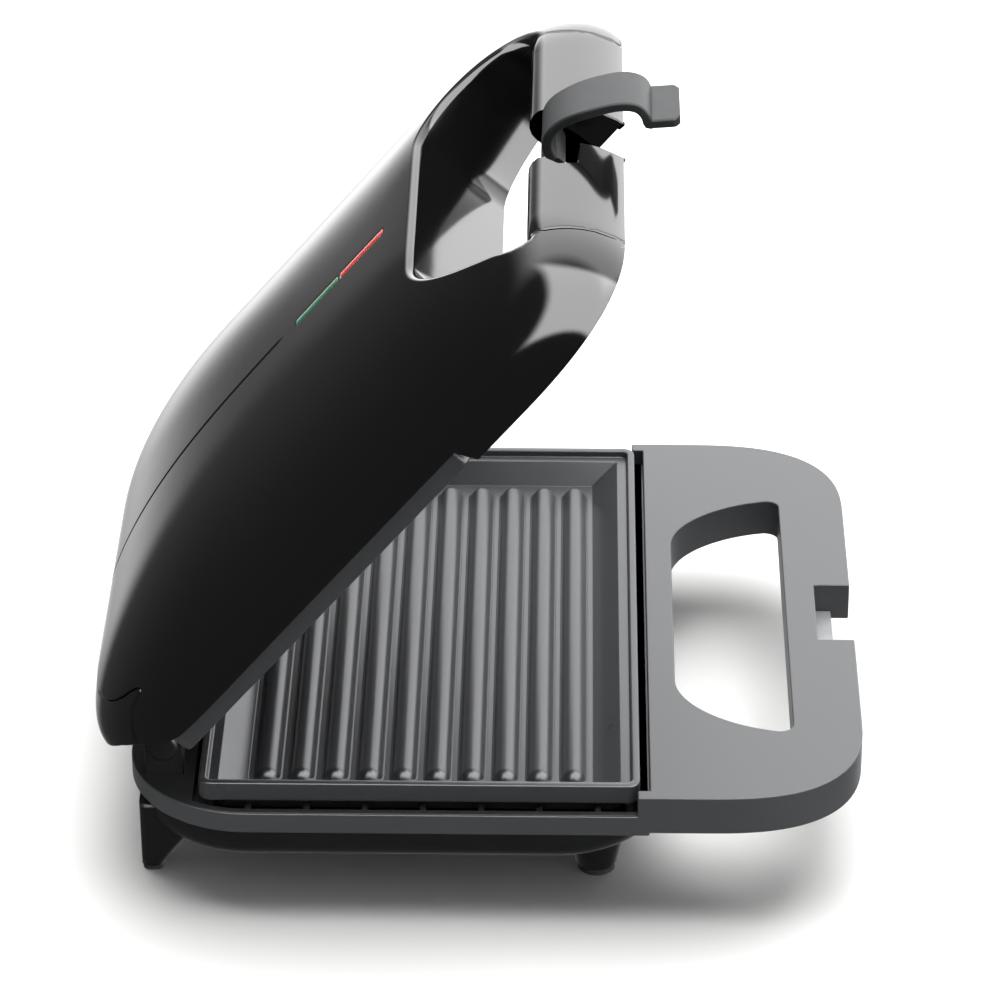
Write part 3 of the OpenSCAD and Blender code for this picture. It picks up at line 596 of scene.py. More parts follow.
class PRESS_OT_base(bpy.types.Operator):
    """Make the base moulding with its handle, finger hole, latch notch and deck"""
    bl_idname = "press.base"
    bl_label = "Base and handle"

    def execute(self, context):
        sizes = context.scene.press_sizes
        wall = 2.6
        outline = base_outline()
        base = solid([prism(clipped(outline, -999, Y_HANDLE + 0.02), Z_UNDER, HANDLE_TOP)])
        combine(base, [prism(clipped(outline, Y_HANDLE, 999), Z_BAND0, Z_BAND)], "UNION")
        for side in (-1, 1):
            x = sorted((side * HALF_W, side * (HALF_W - 4.4)))
            joint = block((x[0], Y_HANDLE - 1, Z_BAND - 1), (x[1], Y_HANDLE + 3.8, HANDLE_TOP))
            combine(base, [joint], "UNION")
        inner = clipped(base_outline(wall), Y_HANDLE + 0.01, PLATE_HIGH.y + 2)
        combine(base, [prism(inner, Z_DECK, Z_BAND + 1)], "DIFFERENCE")
        low = (PLATE_LOW.x + 4.5, PLATE_LOW.y + 4.5, Z_BAND0 - 1)
        high = (PLATE_HIGH.x - 4.5, PLATE_HIGH.y - 4.5, Z_BAND + 2)
        combine(base, [block(low, high)], "DIFFERENCE")
        combine(base, [prism(hole_outline(), 0, 99)], "DIFFERENCE")
        combine(base, [block((-NOTCH_HALF, FRONT - 5, 0), (NOTCH_HALF, NOTCH_Y, 99))], "DIFFERENCE")
        mesh = rounded(base, sizes.edge)
        piece("base_moulding", mesh, "base", "base_abs", "base_frame")
        # A thin dark sheet on the band's top behind the handle: painted shadow of the lid on the deck.
        panel = solid([prism(clipped(base_outline(0.3), Y_HANDLE + 3.9, 999), Z_BAND - 0.3, Z_BAND + 0.3)])
        combine(panel, [prism(inner, Z_DECK, Z_BAND + 1)], "DIFFERENCE")
        piece("deck_painted_shade_panel", rounded(panel, 0.15 * MM, 2), "base", "tub_abs")
        ears = rounded(solid([ear(-1), ear(1)]), 0.6 * MM)
        piece("hinge_ears", ears, "base", "tub_abs")
        caps = []
        for side in (-1, 1):
            reach = ((88, 4.6), (90.6, 4.6), (91.1, 4.3), (91.3, 3.6))
            caps.append(loft([[(side * x, HINGE.y + r * math.cos(a), HINGE.z + side * r * math.sin(a))
                               for a in np.linspace(0, 2 * math.pi, 33)[:-1]] for x, r in reach]))
        piece("pin_caps", smooth(mesh_of("caps", *merged(caps)), 50), "base", "tub_abs")
        props = []
        for side in (-1, 1):
            for i in range(7):
                y = Y_HANDLE + 16 + 18 * i
                x = side * (PLATE_HIGH.x + 0.4)
                props.append(block((x - 3, y - 1, Z_DECK - 0.5), (x + 3, y + 1, Z_BAND - 0.3)))
        piece("deck_ribs", rounded(solid(props), 0.3 * MM, 2), "base", "tub_abs")
        return {"FINISHED"}


def tub_loop(inset, z):
    """One level of the tub under the base: a rectangle with round corners."""
    x, y0, y1 = HALF_W - 1.5 - inset, Y_HANDLE - 8 + inset, REAR - 1.5 - inset
    r = max(5.0, REAR_CORNER - 2 - inset)
    loop = []
    for cx, cy, start in ((x - r, y0 + r, 3), (x - r, y1 - r, 0), (r - x, y1 - r, 1), (r - x, y0 + r, 2)):
        loop += superquarter((cx, cy), (r, r), 2, start, 10)
    return [(px, py, z) for px, py in loop]


class PRESS_OT_tub(bpy.types.Operator):
    """Make the rounded cover under the base"""
    bl_idname = "press.tub"
    bl_label = "Bottom cover"

    def execute(self, context):
        deep = Z_BAND0 - TUB_LOW.z
        steps = [math.sin(math.radians(a)) for a in range(0, 91, 9)]
        inset = [19 * (1 - max(0.0, 1 - t ** 2.2) ** (1 / 2.2)) for t in steps]
        outer = [tub_loop(i, Z_BAND0 + 0.2 - t * (deep + 0.2)) for i, t in zip(inset, steps)]
        verts, faces = loft(list(reversed(outer)))
        mesh = smooth(mesh_of("tub", verts, faces), 45)
        piece("bottom_cover", mesh, "base", "tub_abs", "base_cover")
        return {"FINISHED"}


def rounded_rectangle(x0, x1, y0, y1, r, z, n=5):
    loop = []
    for cx, cy, start in ((x1 - r, y0 + r, 3), (x1 - r, y1 - r, 0), (x0 + r, y1 - r, 1), (x0 + r, y0 + r, 2)):
        loop += [(px, py, z) for px, py in superquarter((cx, cy), (r, r), 2, start, n)]
    return loop


def ring(x, y, r, z, n=40):
    turns = [2 * math.pi * i / n for i in range(n)]
    return [(x + r * math.cos(a), y + r * math.sin(a), z) for a in turns]


class PRESS_OT_feet(bpy.types.Operator):
    """Make the wedge legs at the rear, the cone feet at the front and their rubber pads"""
    bl_idname = "press.feet"
    bl_label = "Feet"

    def execute(self, context):
        pads = []
        for side, name in ((-1, "left"), (1, "right")):
            x = LEG_X * side
            levels = []
            for i in range(13):
                t = i / 12
                half = 6 + 6 * t
                middle = x + side * 5 * t
                y0 = REAR - 9.5 - 20 * t ** 1.15
                levels.append(rounded_rectangle(middle - half, middle + half, y0, REAR - 2.5 - 1.0 * t, 2.5,
                                                2 + (Z_BAND0 - 2.5) * t))
            foot = weighted(mesh_of("leg", *loft(levels)))
            piece(f"{name}_rear_leg", foot, "base", "tub_abs", f"{name}_rear_foot")
            low, high = corners(f"{name}_front_foot")
            cx, cy = (low.x + high.x) / 2, (low.y + high.y) / 2
            profile = [(5.4, 2.0), (6.1, 2.2), (6.5, 2.8), (9.2, TUB_LOW.z), (9.6, TUB_LOW.z + 3)]
            cone = mesh_of("cone", *loft([ring(cx, cy, r, z) for r, z in profile]))
            piece(f"{name}_front_cone", smooth(cone, 50), "base", "tub_abs", f"{name}_front_foot")
            outline = ((5.4, 0), (5.9, 0.4), (5.9, 1.7), (5.5, 2.02))
            pads.append(loft([ring(cx, cy, r, z) for r, z in outline]))
            levels = [rounded_rectangle(x - 5.6 + e, x + 5.6 - e, REAR - 9.1 + e, REAR - 2.9 - e, 2, z)
                      for e, z in ((0.5, 0), (0, 0.4), (0, 1.7), (0.4, 2.02))]
            pads.append(loft(levels))
        piece("rubber_pads", smooth(mesh_of("pads", *merged(pads)), 40), "base", "pad_rubber", "foot_pads")
        return {"FINISHED"}


# ---- plates ----

def rib(length, y, floor):
    """A half-round rib with a soft foot and round ends, as loops from its foot to its crest."""
    profile = [(4.7, -0.3), (4.6, 0.0), (4.15, 0.08), (3.8, 0.35), (3.55, 0.85), (3.25, 1.55), (2.75, 2.3),
               (2.0, 3.0), (1.05, 3.44), (0.2, 3.6)]
    half = length / 2 - 3.6
    loops = []
    for reach, up in profile:
        loop = []
        for i in range(13):
            a = -math.pi / 2 + math.pi * i / 12
            loop.append((half + reach * math.cos(a), y + reach * math.sin(a), floor + up))
        for i in range(13):
            a = math.pi / 2 + math.pi * i / 12
            loop.append((-half + reach * math.cos(a), y + reach * math.sin(a), floor + up))
        loops.append(loop)
    return loft(loops, (False, True))


def grill_plate(sizes):
    """A grill plate face up about its own middle, its rim's top at height 0."""
    half_x = (PLATE_HIGH.x - PLATE_LOW.x) / 2
    half_y = (PLATE_HIGH.y - PLATE_LOW.y) / 2
    # inset along X and Y, corner radius, height: from the pan's back, round the rim and down to the floor
    steps = [(12, 12, 3, -12.6), (5.6, 5.6, 3, -12.4), (5.4, 5.4, 3, -12.0), (5.4, 5.4, 3, -RIM_H),
             (0.4, 0.4, 3.6, -RIM_H), (0, 0, 4, -RIM_H + 0.4), (0, 0, 4, -0.6), (0.2, 0.2, 3.8, -0.17),
             (0.6, 0.6, 3.4, 0), (1.9, 1.9, 2.4, 0), (2.3, 2.3, 2.1, -0.15), (2.6, 2.6, 2, -0.5),
             (2.7, 2.7, 1.9, -1.9), (2.9, 2.9, 1.7, -2.2), (3.3, 3.3, 1.5, -2.3), (5.7, 5.7, 0.6, -2.3),
             (6.1, 6.2, 0.5, -2.45), (10.3, 14.2, 0.5, -FLOOR_DROP + 0.16), (10.6, 14.7, 0.5, -FLOOR_DROP)]
    loops = [rounded_rectangle(-half_x + ix, half_x - ix, -half_y + iy, half_y - iy, r, z)
             for ix, iy, r, z in steps]
    pitch = sizes.rib_pitch / MM
    length = 2 * (half_x - 10.5 - 4.7)
    ribs = [rib(length, (i - (sizes.ribs - 1) / 2) * pitch, -FLOOR_DROP) for i in range(sizes.ribs)]
    return merged([loft(loops)] + ribs)


class PRESS_OT_plates(bpy.types.Operator):
    """Make the two ribbed plates"""
    bl_idname = "press.plates"
    bl_label = "Grill plates"

    def execute(self, context):
        middle = (PLATE_LOW.y + PLATE_HIGH.y) / 2
        verts, faces = grill_plate(context.scene.press_sizes)
        lower = Matrix.Translation((0, middle, PLATE_HIGH.z))
        mesh = smooth(weighted(mesh_of("plate", verts, faces, lower)), 50)
        piece("lower_grill", mesh, "base", "nonstick_plate", "lower_plate")
        upper = OPENED @ Matrix.Translation((0, middle, PLATE_HIGH.z + PLATE_GAP))
        upper = upper @ Matrix.Scale(-1, 4, (0, 0, 1))
        mesh = mesh_of("plate", verts, [tuple(reversed(face)) for face in faces], upper)
        piece("upper_grill", smooth(weighted(mesh), 50), "lid", "nonstick_plate", "upper_plate")
        return {"FINISHED"}


# ---- lid ----

def lid_outline():
    """Dense outline of the lid, as an array."""
    corners_only = body_outline(1.0, Y_LID + 1.0, (67, 61), 2.9, 60)
    moved = [(x, y - (1.0 if y < CENTRE[1] else 0.0)) for x, y in corners_only]
    dense = []
    for (x0, y0), (x1, y1) in zip(moved, moved[1:] + moved[:1]):
        n = max(1, int(math.hypot(x1 - x0, y1 - y0) / 1.5))
        dense += [(x0 + (x1 - x0) * i / n, y0 + (y1 - y0) * i / n) for i in range(n)]
    return np.array(dense)


OUTLINE = lid_outline()
_spokes = OUTLINE - CENTRE
_order = np.argsort(np.arctan2(_spokes[:, 1], _spokes[:, 0]))
SPOKE_ANGLE = np.arctan2(_spokes[:, 1], _spokes[:, 0])[_order]
SPOKE_LENGTH = np.hypot(_spokes[:, 0], _spokes[:, 1])[_order]


def lift(y):
    """How far the lid's lower edge rises towards the rear."""
    return (Z_BACK - Z_LID) * np.clip((y - CENTRE[1] - 25) / (Y_LID - CENTRE[1] - 25), 0, None) ** 2


def edge_height(y):
    """Lower edge of the lid: over the handle, beside the plates and over the hinge."""
    cut = np.interp(y, [Y_HANDLE + 1, Y_HANDLE + 2.2, Y_STEP - 7, Y_STEP - 2, Y_STEP + 3, Y_STEP + 7,
                        HINGE.y + 5],
                    [Z_LID, Z_SIDE, Z_SIDE, Z_SIDE + 0.8, Z_SIDE + 3, Z_BACK - 2, Z_BACK])
    return np.maximum(Z_LID + lift(y), cut)


def spoke(points):
    """Distance and angle of points from the dome's centre, and the outline's distance at that angle."""
    d = points - CENTRE
    angle = np.arctan2(d[:, 1], d[:, 0])
    return d, np.maximum(np.hypot(d[:, 0], d[:, 1]), 1e-6), np.interp(angle, SPOKE_ANGLE, SPOKE_LENGTH,
                                                                     period=2 * math.pi)


def dome(flat):
    """Points of the dome over points of its flattened skin, which keeps the outline and spreads the sides."""
    d, reach, rim = spoke(flat)
    share = np.sin(np.clip(reach / rim, 0, 1) * math.pi / 2)
    plan = CENTRE + d * (share * rim / reach)[:, None]
    low = Z_LID + lift(plan[:, 1])
    z = low + (Z_TOP - low) * np.clip(1 - share ** DOME_POWER, 0, None) ** (1 / DOME_EDGE)
    return np.column_stack([plan, z])


def flatten(plan):
    """Points of the flattened skin that lie under points in plan."""
    d, reach, rim = spoke(plan)
    share = np.clip(reach / rim, 0, 1)
    return CENTRE + d * (np.arcsin(share) * 2 / math.pi * rim / reach)[:, None]


def dome_normals(flat):
    step = 0.8
    across = dome(flat + [step, 0]) - dome(flat - [step, 0])
    along = dome(flat + [0, step]) - dome(flat - [0, step])
    normal = np.cross(across, along)
    return normal / np.linalg.norm(normal, axis=1)[:, None]


def inside(loop, points):
    """Which points lie inside a closed loop."""
    a, b = loop, np.roll(loop, -1, axis=0)
    result = np.zeros(len(points), bool)
    for (x0, y0), (x1, y1) in zip(a, b):
        if y0 == y1:
            continue
        crosses = (y0 > points[:, 1]) != (y1 > points[:, 1])
        result ^= crosses & (points[:, 0] < (x1 - x0) * (points[:, 1] - y0) / (y1 - y0) + x0)
    return result


def distance(line, points, closed=True):
    """Distance of points from a line of segments."""
    ends = np.roll(line, -1, axis=0) if closed else line[1:]
    starts = line if closed else line[:-1]
    best = np.full(len(points), 1e9)
    for a, b in zip(starts, ends):
        d = b - a
        t = np.clip(((points - a) @ d) / max(d @ d, 1e-12), 0, 1)
        best = np.minimum(best, np.linalg.norm(points - a - t[:, None] * d, axis=1))
    return best


def spaced(line, step, closed=False):
    """The line with extra points so that none of its segments is longer than step."""
    points = [np.array(p, float) for p in line]
    if closed:
        points.append(points[0])
    result = []
    for a, b in zip(points, points[1:]):
        n = max(1, math.ceil(np.linalg.norm(b - a) / step))
        result += [a + (b - a) * i / n for i in range(n)]
    if not closed:
        result.append(points[-1])
    return np.array(result)


def moved_out(line, amount, closed=False):
    """The line moved to its right by an amount."""
    if closed:
        along = np.roll(line, -1, axis=0) - np.roll(line, 1, axis=0)
    else:
        along = np.gradient(line, axis=0)
    along = along / np.linalg.norm(along, axis=1)[:, None]
    return line + amount * np.column_stack([along[:, 1], -along[:, 0]])


def run_past(line, start=True, end=True, reach=6.0):
    """An open line run on past its ends."""
    points = list(line)
    if start:
        d = points[0] - points[1]
        points.insert(0, points[0] + d / np.linalg.norm(d) * reach)
    if end:
        d = points[-1] - points[-2]
        points.append(points[-1] + d / np.linalg.norm(d) * reach)
    return np.array(points)


def rim_line():
    """The lid's lower edge on the flattened skin."""
    low, high = np.full(len(OUTLINE), 0.5), np.ones(len(OUTLINE))
    for _ in range(26):
        middle = (low + high) / 2
        p = dome(CENTRE + (OUTLINE - CENTRE) * middle[:, None])
        above = p[:, 2] > edge_height(p[:, 1])
        low = np.where(above, middle, low)
        high = np.where(above, high, middle)
    return CENTRE + (OUTLINE - CENTRE) * low[:, None]


def cover_path():
    """The seam round the hinge cover on the flattened skin: level at the rear, down to the rim each side."""
    level = []
    for a in np.radians(np.arange(20, 90.1, 1.0)):
        ray = CENTRE + np.outer(np.linspace(0.2, 1, 260), [math.cos(a), math.sin(a)]) * 260
        _, reach, rim = spoke(ray)
        ray = ray[reach < rim]
        level.append(ray[np.argmax(dome(ray)[:, 2] < COVER_Z)])
    level = np.array(level)
    level = level[dome(level)[:, 1] > COVER_Y]
    end = level[0]
    down = (end - CENTRE) / np.linalg.norm(end - CENTRE)
    turn = [bezier(end, end + [1.2, -3.5], end + [4, -3.5], end + down * 9, t) for t in np.linspace(1, 0, 10)]
    right = np.vstack([spaced([end + down * 45, turn[0]], 2.0)[:-1], turn, level[1:]])
    return np.vstack([right, right[::-1][1:] * [-1, 1]])


def lip_line(radius, front_radius):
    """Plan of the line where the hole's lip leaves the dome, and the lip's radius, larger at the grip."""
    wall = spaced(hole_outline(), 2.2, True)
    share = np.clip((GRIP_Y + 6 - wall[:, 1]) / 6, 0, 1)
    lips = radius + (front_radius - radius) * share ** 2 * (3 - 2 * share)
    into = moved_out(wall, -1.0, True) - wall
    line = wall - into * lips[:, None]
    for _ in range(4):
        normal = dome_normals(flatten(line))
        line = wall - into * lips[:, None] + normal[:, :2] * lips[:, None]
    return line, lips


class Skin:
    """The lid's outer surface, cut into its mouldings on the flattened skin."""

    def __init__(self, sizes):
        self.lip = sizes.lip / MM
        self.roll = sizes.roll / MM
        self.wall = sizes.skin / MM
        gap = sizes.seam / MM / 2
        self.rim = rim_line()
        line, self.lips = lip_line(self.lip, sizes.grip_lip / MM)
        self.hole = flatten(line)
        self.slot = self.slot_line()
        self.lines = [(self.rim, True), (moved_out(self.rim, -self.roll, True), True), (self.hole, True),
                      (self.slot, True), (moved_out(self.slot, self.roll, True), True)]
        self.strips = []
        self.seams = []
        for side in (-1, 1):
            line = flatten(spaced([(side * GRIP_HALF, HOLE_Y - 20), (side * GRIP_HALF, FRONT + 0.5)], 2.0))
            self.seam(run_past(line, False), gap)
        self.cover = self.seam(cover_path(), gap)
        self.windows = []
        for i in range(2):
            y0 = WINDOW_Y + i * (WINDOW_L + 1.6)
            y1 = y0 + WINDOW_L
            sides = [(-WINDOW_HALF, y0), (WINDOW_HALF, y0), (WINDOW_HALF, y1), (-WINDOW_HALF, y1)]
            frame_line = spaced(sides, 2 * WINDOW_HALF, True)
            self.windows.append(flatten(frame_line))
            self.lines.append((self.windows[-1], True))
            self.lines.append((moved_out(self.windows[-1], 0.4, True), True))
        self.groove_from = WINDOW_Y + 2 * WINDOW_L + 3
        self.groove_to = HINGE.y - 2
        self.triangulate(sizes.grid / MM)

    def slot_line(self):
        """The latch's slot with a finger scoop on its left side, run past the front edge."""
        deep = FRONT + 17.5
        start, end = HOLE_Y - 20, FRONT + 0.2
        plain = [(SLOT_HALF, start), (SLOT_HALF, end)]
        scooped = [(SLOT_HALF, start), (SLOT_HALF, deep), (SLOT_HALF + 14.5, FRONT + 8.6),
                   (SLOT_HALF + 14, FRONT + 5.2), (SLOT_HALF, FRONT + 4.6), (SLOT_HALF, end)]
        right = run_past(flatten(spaced(plain, 1.6)), False)
        left = run_past(flatten(spaced(scooped, 1.6)), False) * [-1, 1]
        return np.vstack([right[::-1], left])

    def seam(self, line, gap):
        """Marks out a seam: the gap itself, and a narrow strip on each side for its rounded edge."""
        for amount in (-gap - self.roll, -gap, gap, gap + self.roll):
            self.lines.append((moved_out(line, amount), False))
        self.strips.append(np.vstack([moved_out(line, gap), moved_out(line, -gap)[::-1]]))
        self.seams.append(line)
        return line

    def triangulate(self, step):
        groove = [np.array([(x, y) for y in np.arange(self.groove_from, self.groove_to, 2.0)])
                  for x in (-0.8, 0.0, 0.8)]
        self.lines += [(line, False) for line in groove]
        points, edges = [], []
        for line, closed in self.lines:
            start = len(points)
            points += [tuple(p) for p in line]
            edges += [(start + i, start + i + 1) for i in range(len(line) - 1)]
            if closed:
                edges.append((start + len(line) - 1, start))
        features = np.array(points)
        low, high = OUTLINE.min(axis=0), OUTLINE.max(axis=0)
        rows = np.arange(low[1], high[1], step * math.sqrt(3) / 2)
        grid = [(x + (step / 2 if j % 2 else 0), y) for j, y in enumerate(rows)
                for x in np.arange(low[0], high[0], step)]
        grid = np.array(grid)
        grid = grid[inside(self.rim, grid)]
        near = np.min(np.linalg.norm(grid[:, None] - features[None], axis=2), axis=1)
        grid = grid[near > step * 0.45]
        points += [tuple(p) for p in grid]
        verts, _, faces, _, _, _ = delaunay_2d_cdt([Vector(p) for p in points], edges, [], 0, 1e-4)
        self.flat = np.array([tuple(v) for v in verts])
        self.faces = np.array([f for f in faces if len(f) == 3])
        self.points = dome(self.flat)
        self.normals = dome_normals(self.flat)
        along = (self.flat[:, 1] > self.groove_from - 0.1) & (self.flat[:, 1] < self.groove_to)
        self.points[along & (np.abs(self.flat[:, 0]) < 0.05)] -= [0, 0, 1.1]
        self.sort_faces()

    def sort_faces(self):
        """Gives each triangle to the moulding it belongs to."""
        middle = self.flat[self.faces].mean(axis=1)
        ok = inside(self.rim, middle) & ~inside(self.hole, middle) & ~inside(self.slot, middle)
        for strip in self.strips:
            ok &= ~inside(strip, middle)
        for window in self.windows:
            ok &= ~inside(window, middle)
        cover = inside(np.vstack([self.cover, [[-200, 200], [200, 200]]]), middle)
        plan = dome(middle)
        front = (np.abs(plan[:, 0]) < GRIP_HALF) & (plan[:, 1] < GRIP_Y + 4)
        near = np.min([distance(line, middle, False) for line in self.seams], axis=0) < 4
        clear = (distance(self.hole, middle) > 2.5) & (distance(self.slot, middle) > 2.5)
        self.part = {
            "shade_backing": self.faces[inside(self.rim, middle) & near & clear & ~inside(self.hole, middle)],
            "cover": self.faces[ok & cover],
            "left_grip": self.faces[ok & ~cover & front & (plan[:, 0] < 0)],
            "right_grip": self.faces[ok & ~cover & front & (plan[:, 0] > 0)],
            "shell": self.faces[ok & ~cover & ~front],
        }

    def moulding(self, part, sunk=0.0):
        """Mesh of one moulding: outer skin, rounded edges, walls and inner skin, with its exact normals."""
        faces = self.part[part]
        verts, index, corners_out, shown = [], {}, [], []

        def vertex(key, place):
            if key not in index:
                index[key] = len(verts)
                verts.append(tuple(place))
            return index[key]

        def quad(a, b, c, d, normals):
            corners_out.append((a, b, c, d))
            shown.append(normals)

        count = {}
        for a, b, c in faces:
            for edge in ((a, b), (b, c), (c, a)):
                count[edge] = True
        border = [(a, b) for a, b in count if (b, a) not in count]
        middle = (self.flat[[a for a, _ in border]] + self.flat[[b for _, b in border]]) / 2
        at_hole = distance(self.hole, middle) < 0.25
        at_slot = distance(self.slot, middle) < 0.25
        kinds = ["hole" if h else "slot" if s else "seam" for h, s in zip(at_hole, at_slot)]
        outward = {}
        for (a, b), kind in zip(border, kinds):
            t = self.points[b] - self.points[a]
            for v in (a, b):
                o = np.cross(t, self.normals[v])
                outward.setdefault((v, kind), np.zeros(3))
                outward[(v, kind)] += o / max(np.linalg.norm(o), 1e-9)
        dropped = {v for (a, b), kind in zip(border, kinds) if kind != "hole" for v in (a, b)}
        tilt = {}
        for (v, kind), o in outward.items():
            outward[(v, kind)] = o / max(np.linalg.norm(o), 1e-9)
            if kind != "hole":
                tilt[v] = outward[(v, kind)]

        def outer(v):
            place = self.points[v] - self.normals[v] * (sunk + (self.roll * 0.6 if v in dropped else 0))
            return vertex(("out", v), place)

        def inner(v):
            return vertex(("in", v), self.points[v] - self.normals[v] * (self.wall + sunk))

        def outer_normal(v):
            n = self.normals[v]
            if v in tilt:
                n = n + tilt[v] * 1.1
                n = n / np.linalg.norm(n)
            return tuple(n)

        for a, b, c in faces:
            corners_out.append((outer(a), outer(b), outer(c)))
            shown.append([outer_normal(v) for v in (a, b, c)])
            corners_out.append((inner(c), inner(b), inner(a)))
            shown.append([tuple(-self.normals[v]) for v in (c, b, a)])

        chains = {}

        def chain(v, kind):
            """Points and normals from the outer skin's edge to the inner skin's, broken at sharp turns."""
            if (v, kind) in chains:
                return chains[(v, kind)]
            n, o, p = self.normals[v], outward[(v, kind)], self.points[v]
            steps = [(outer(v), o)]
            if kind == "hole":
                h = np.array([o[0], o[1], 0.0])
                h /= max(np.linalg.norm(h), 1e-9)
                turn = math.acos(float(np.clip(n @ h, -1, 1)))
                lip = self.lips[np.argmin(np.linalg.norm(self.hole - self.flat[v], axis=1))]
                steps = [(outer(v), n)]
                for k in range(1, 7):
                    t = k / 6
                    d = (math.sin((1 - t) * turn) * n + math.sin(t * turn) * h) / math.sin(turn)
                    steps.append((vertex((v, kind, k), p - n * lip + d * lip), d))
                wall = p - n * lip + h * lip
                foot = np.array([wall[0], wall[1], Z_LID + 0.2])
                down = np.array([0, 0, -1.0])
                bottom = vertex((v, kind, "foot"), foot)
                behind = vertex((v, kind, "back"), foot - h * self.wall)
                steps += [(bottom, h), None, (bottom, down), (behind, down), None, (behind, -h),
                          (inner(v), -h)]
            elif kind == "slot":
                h = np.array([o[0], o[1], 0.0])
                h /= max(np.linalg.norm(h), 1e-9)
                foot = np.array([p[0], p[1], min(Z_LID + 0.6, p[2] - 0.3)])
                down = np.array([0, 0, -1.0])
                bottom = vertex((v, kind, "foot"), foot)
                behind = vertex((v, kind, "back"), foot - h * self.wall * 0.8)
                steps += [(bottom, h), None, (bottom, down), (behind, down), None, (behind, -h),
                          (inner(v), -h)]
            else:
                steps.append((inner(v), o))
            chains[(v, kind)] = steps
            return steps

        for (a, b), kind in zip(border, kinds):
            first, second = chain(a, kind), chain(b, kind)
            for k in range(len(first) - 1):
                if first[k] is None or first[k + 1] is None:
                    continue
                (a0, na0), (a1, na1), (b0, nb0), (b1, nb1) = first[k], first[k + 1], second[k], second[k + 1]
                quad(b0, a0, a1, b1, [tuple(nb0), tuple(na0), tuple(na1), tuple(nb1)])
        return verts, corners_out, shown


def turned_mesh(name, verts, faces, normals, place):
    """A mesh with the normals given for each corner of its faces, turned by place."""
    mesh = bpy.data.meshes.new(name)
    mesh.from_pydata([(place @ Vector(v)) * MM for v in verts], [], faces)
    spin = place.to_3x3()
    mesh.shade_smooth()
    mesh.normals_split_custom_set([spin @ Vector(n) for face in normals for n in face])
    return mesh


class PRESS_OT_lid(bpy.types.Operator):
    """Make the lid's mouldings: the domed shell, the hinge cover and the two halves of the grip"""
    bl_idname = "press.lid"
    bl_label = "Lid"

    def execute(self, context):
        skin = Skin(context.scene.press_sizes)
        plan = (("shell", "lid_dome", "lid_gloss", ("lid_shell",), 0.0),
                ("cover", "hinge_cover", "lid_gloss", ("lid_hinge_cover",), 0.35),
                ("left_grip", "left_grip_sleeve", "lid_gloss", ("lid_grip",), 0.0),
                ("right_grip", "right_grip_sleeve", "lid_gloss", (), 0.0),
                # Dark ABS backing sunk under the seams, so the gaps show dark: painted shade inside the seam gaps.
                ("shade_backing", "seam_shade_backing", "tub_abs", (), skin.wall + 0.1))
        for part, name, slot, nodes, sunk in plan:
            verts, faces, normals = skin.moulding(part, sunk)
            if not faces:
                raise RuntimeError(f"the lid's {part} came out empty")
            piece(name, turned_mesh(name, verts, faces, normals, OPENED), "lid", slot, *nodes)
        return {"FINISHED"}


class PRESS_OT_windows(bpy.types.Operator):
    """Make the green and red light windows along the lid's centre line"""
    bl_idname = "press.windows"
    bl_label = "Light windows"

    def execute(self, context):
        for i, (name, slot, node) in enumerate((("red_light", "red_lens", "red_window"),
                                               ("green_light", "green_lens", "green_window"))):
            y0 = WINDOW_Y + i * (WINDOW_L + 1.6)
            rows = np.linspace(y0 + 0.15, y0 + WINDOW_L - 0.15, 22)
            loops = []
            for y in rows:
                across = np.array((-1, -0.6, 0, 0.6, 1)) * (WINDOW_HALF - 0.12)
                top = dome(flatten(np.array([[x, y] for x in across])))
                crown = top + [[0, 0, z] for z in (-0.25, 0.05, 0.12, 0.05, -0.25)]
                sunk = [(x, y, crown[0][2] - 2) for x in (across[4], across[0])]
                loops.append([tuple(p) for p in crown] + sunk)
            verts, faces = loft(loops)
            mesh = mesh_of(name, verts, [tuple(reversed(face)) for face in faces], OPENED)
            piece(name, smooth(mesh, 50), "lid", slot, node)
        return {"FINISHED"}


# ---- latch ----

def eased(t):
    """A smooth step from 0 to 1."""
    t = min(1.0, max(0.0, t))
    return t * t * (3 - 2 * t)


def latch_line():
    """The strap's middle line from its pivot, as distances to the front and upwards, with the lid shut."""
    line = [(bezier(1.5, 4, 16, 27.5, t), bezier(0.5, 13, 8.1, -0.7, t)) for t in np.linspace(0, 1, 24)]
    line += [(bezier(27.5, 31.5, 34, 30.9, t), bezier(-0.7, -4, -7.8, -11.7, t))
             for t in np.linspace(0, 1, 16)[1:]]
    line += [(bezier(30.9, 30.3, 30.7, 31.6, t), bezier(-11.7, -12.4, -12.7, -13.2, t))
             for t in (0.35, 0.7, 1)]
    line += [(31.6 + 5.7 * t, -13.2 - 5.8 * t) for t in np.linspace(0, 1, 9)[1:]]
    return np.array(line)


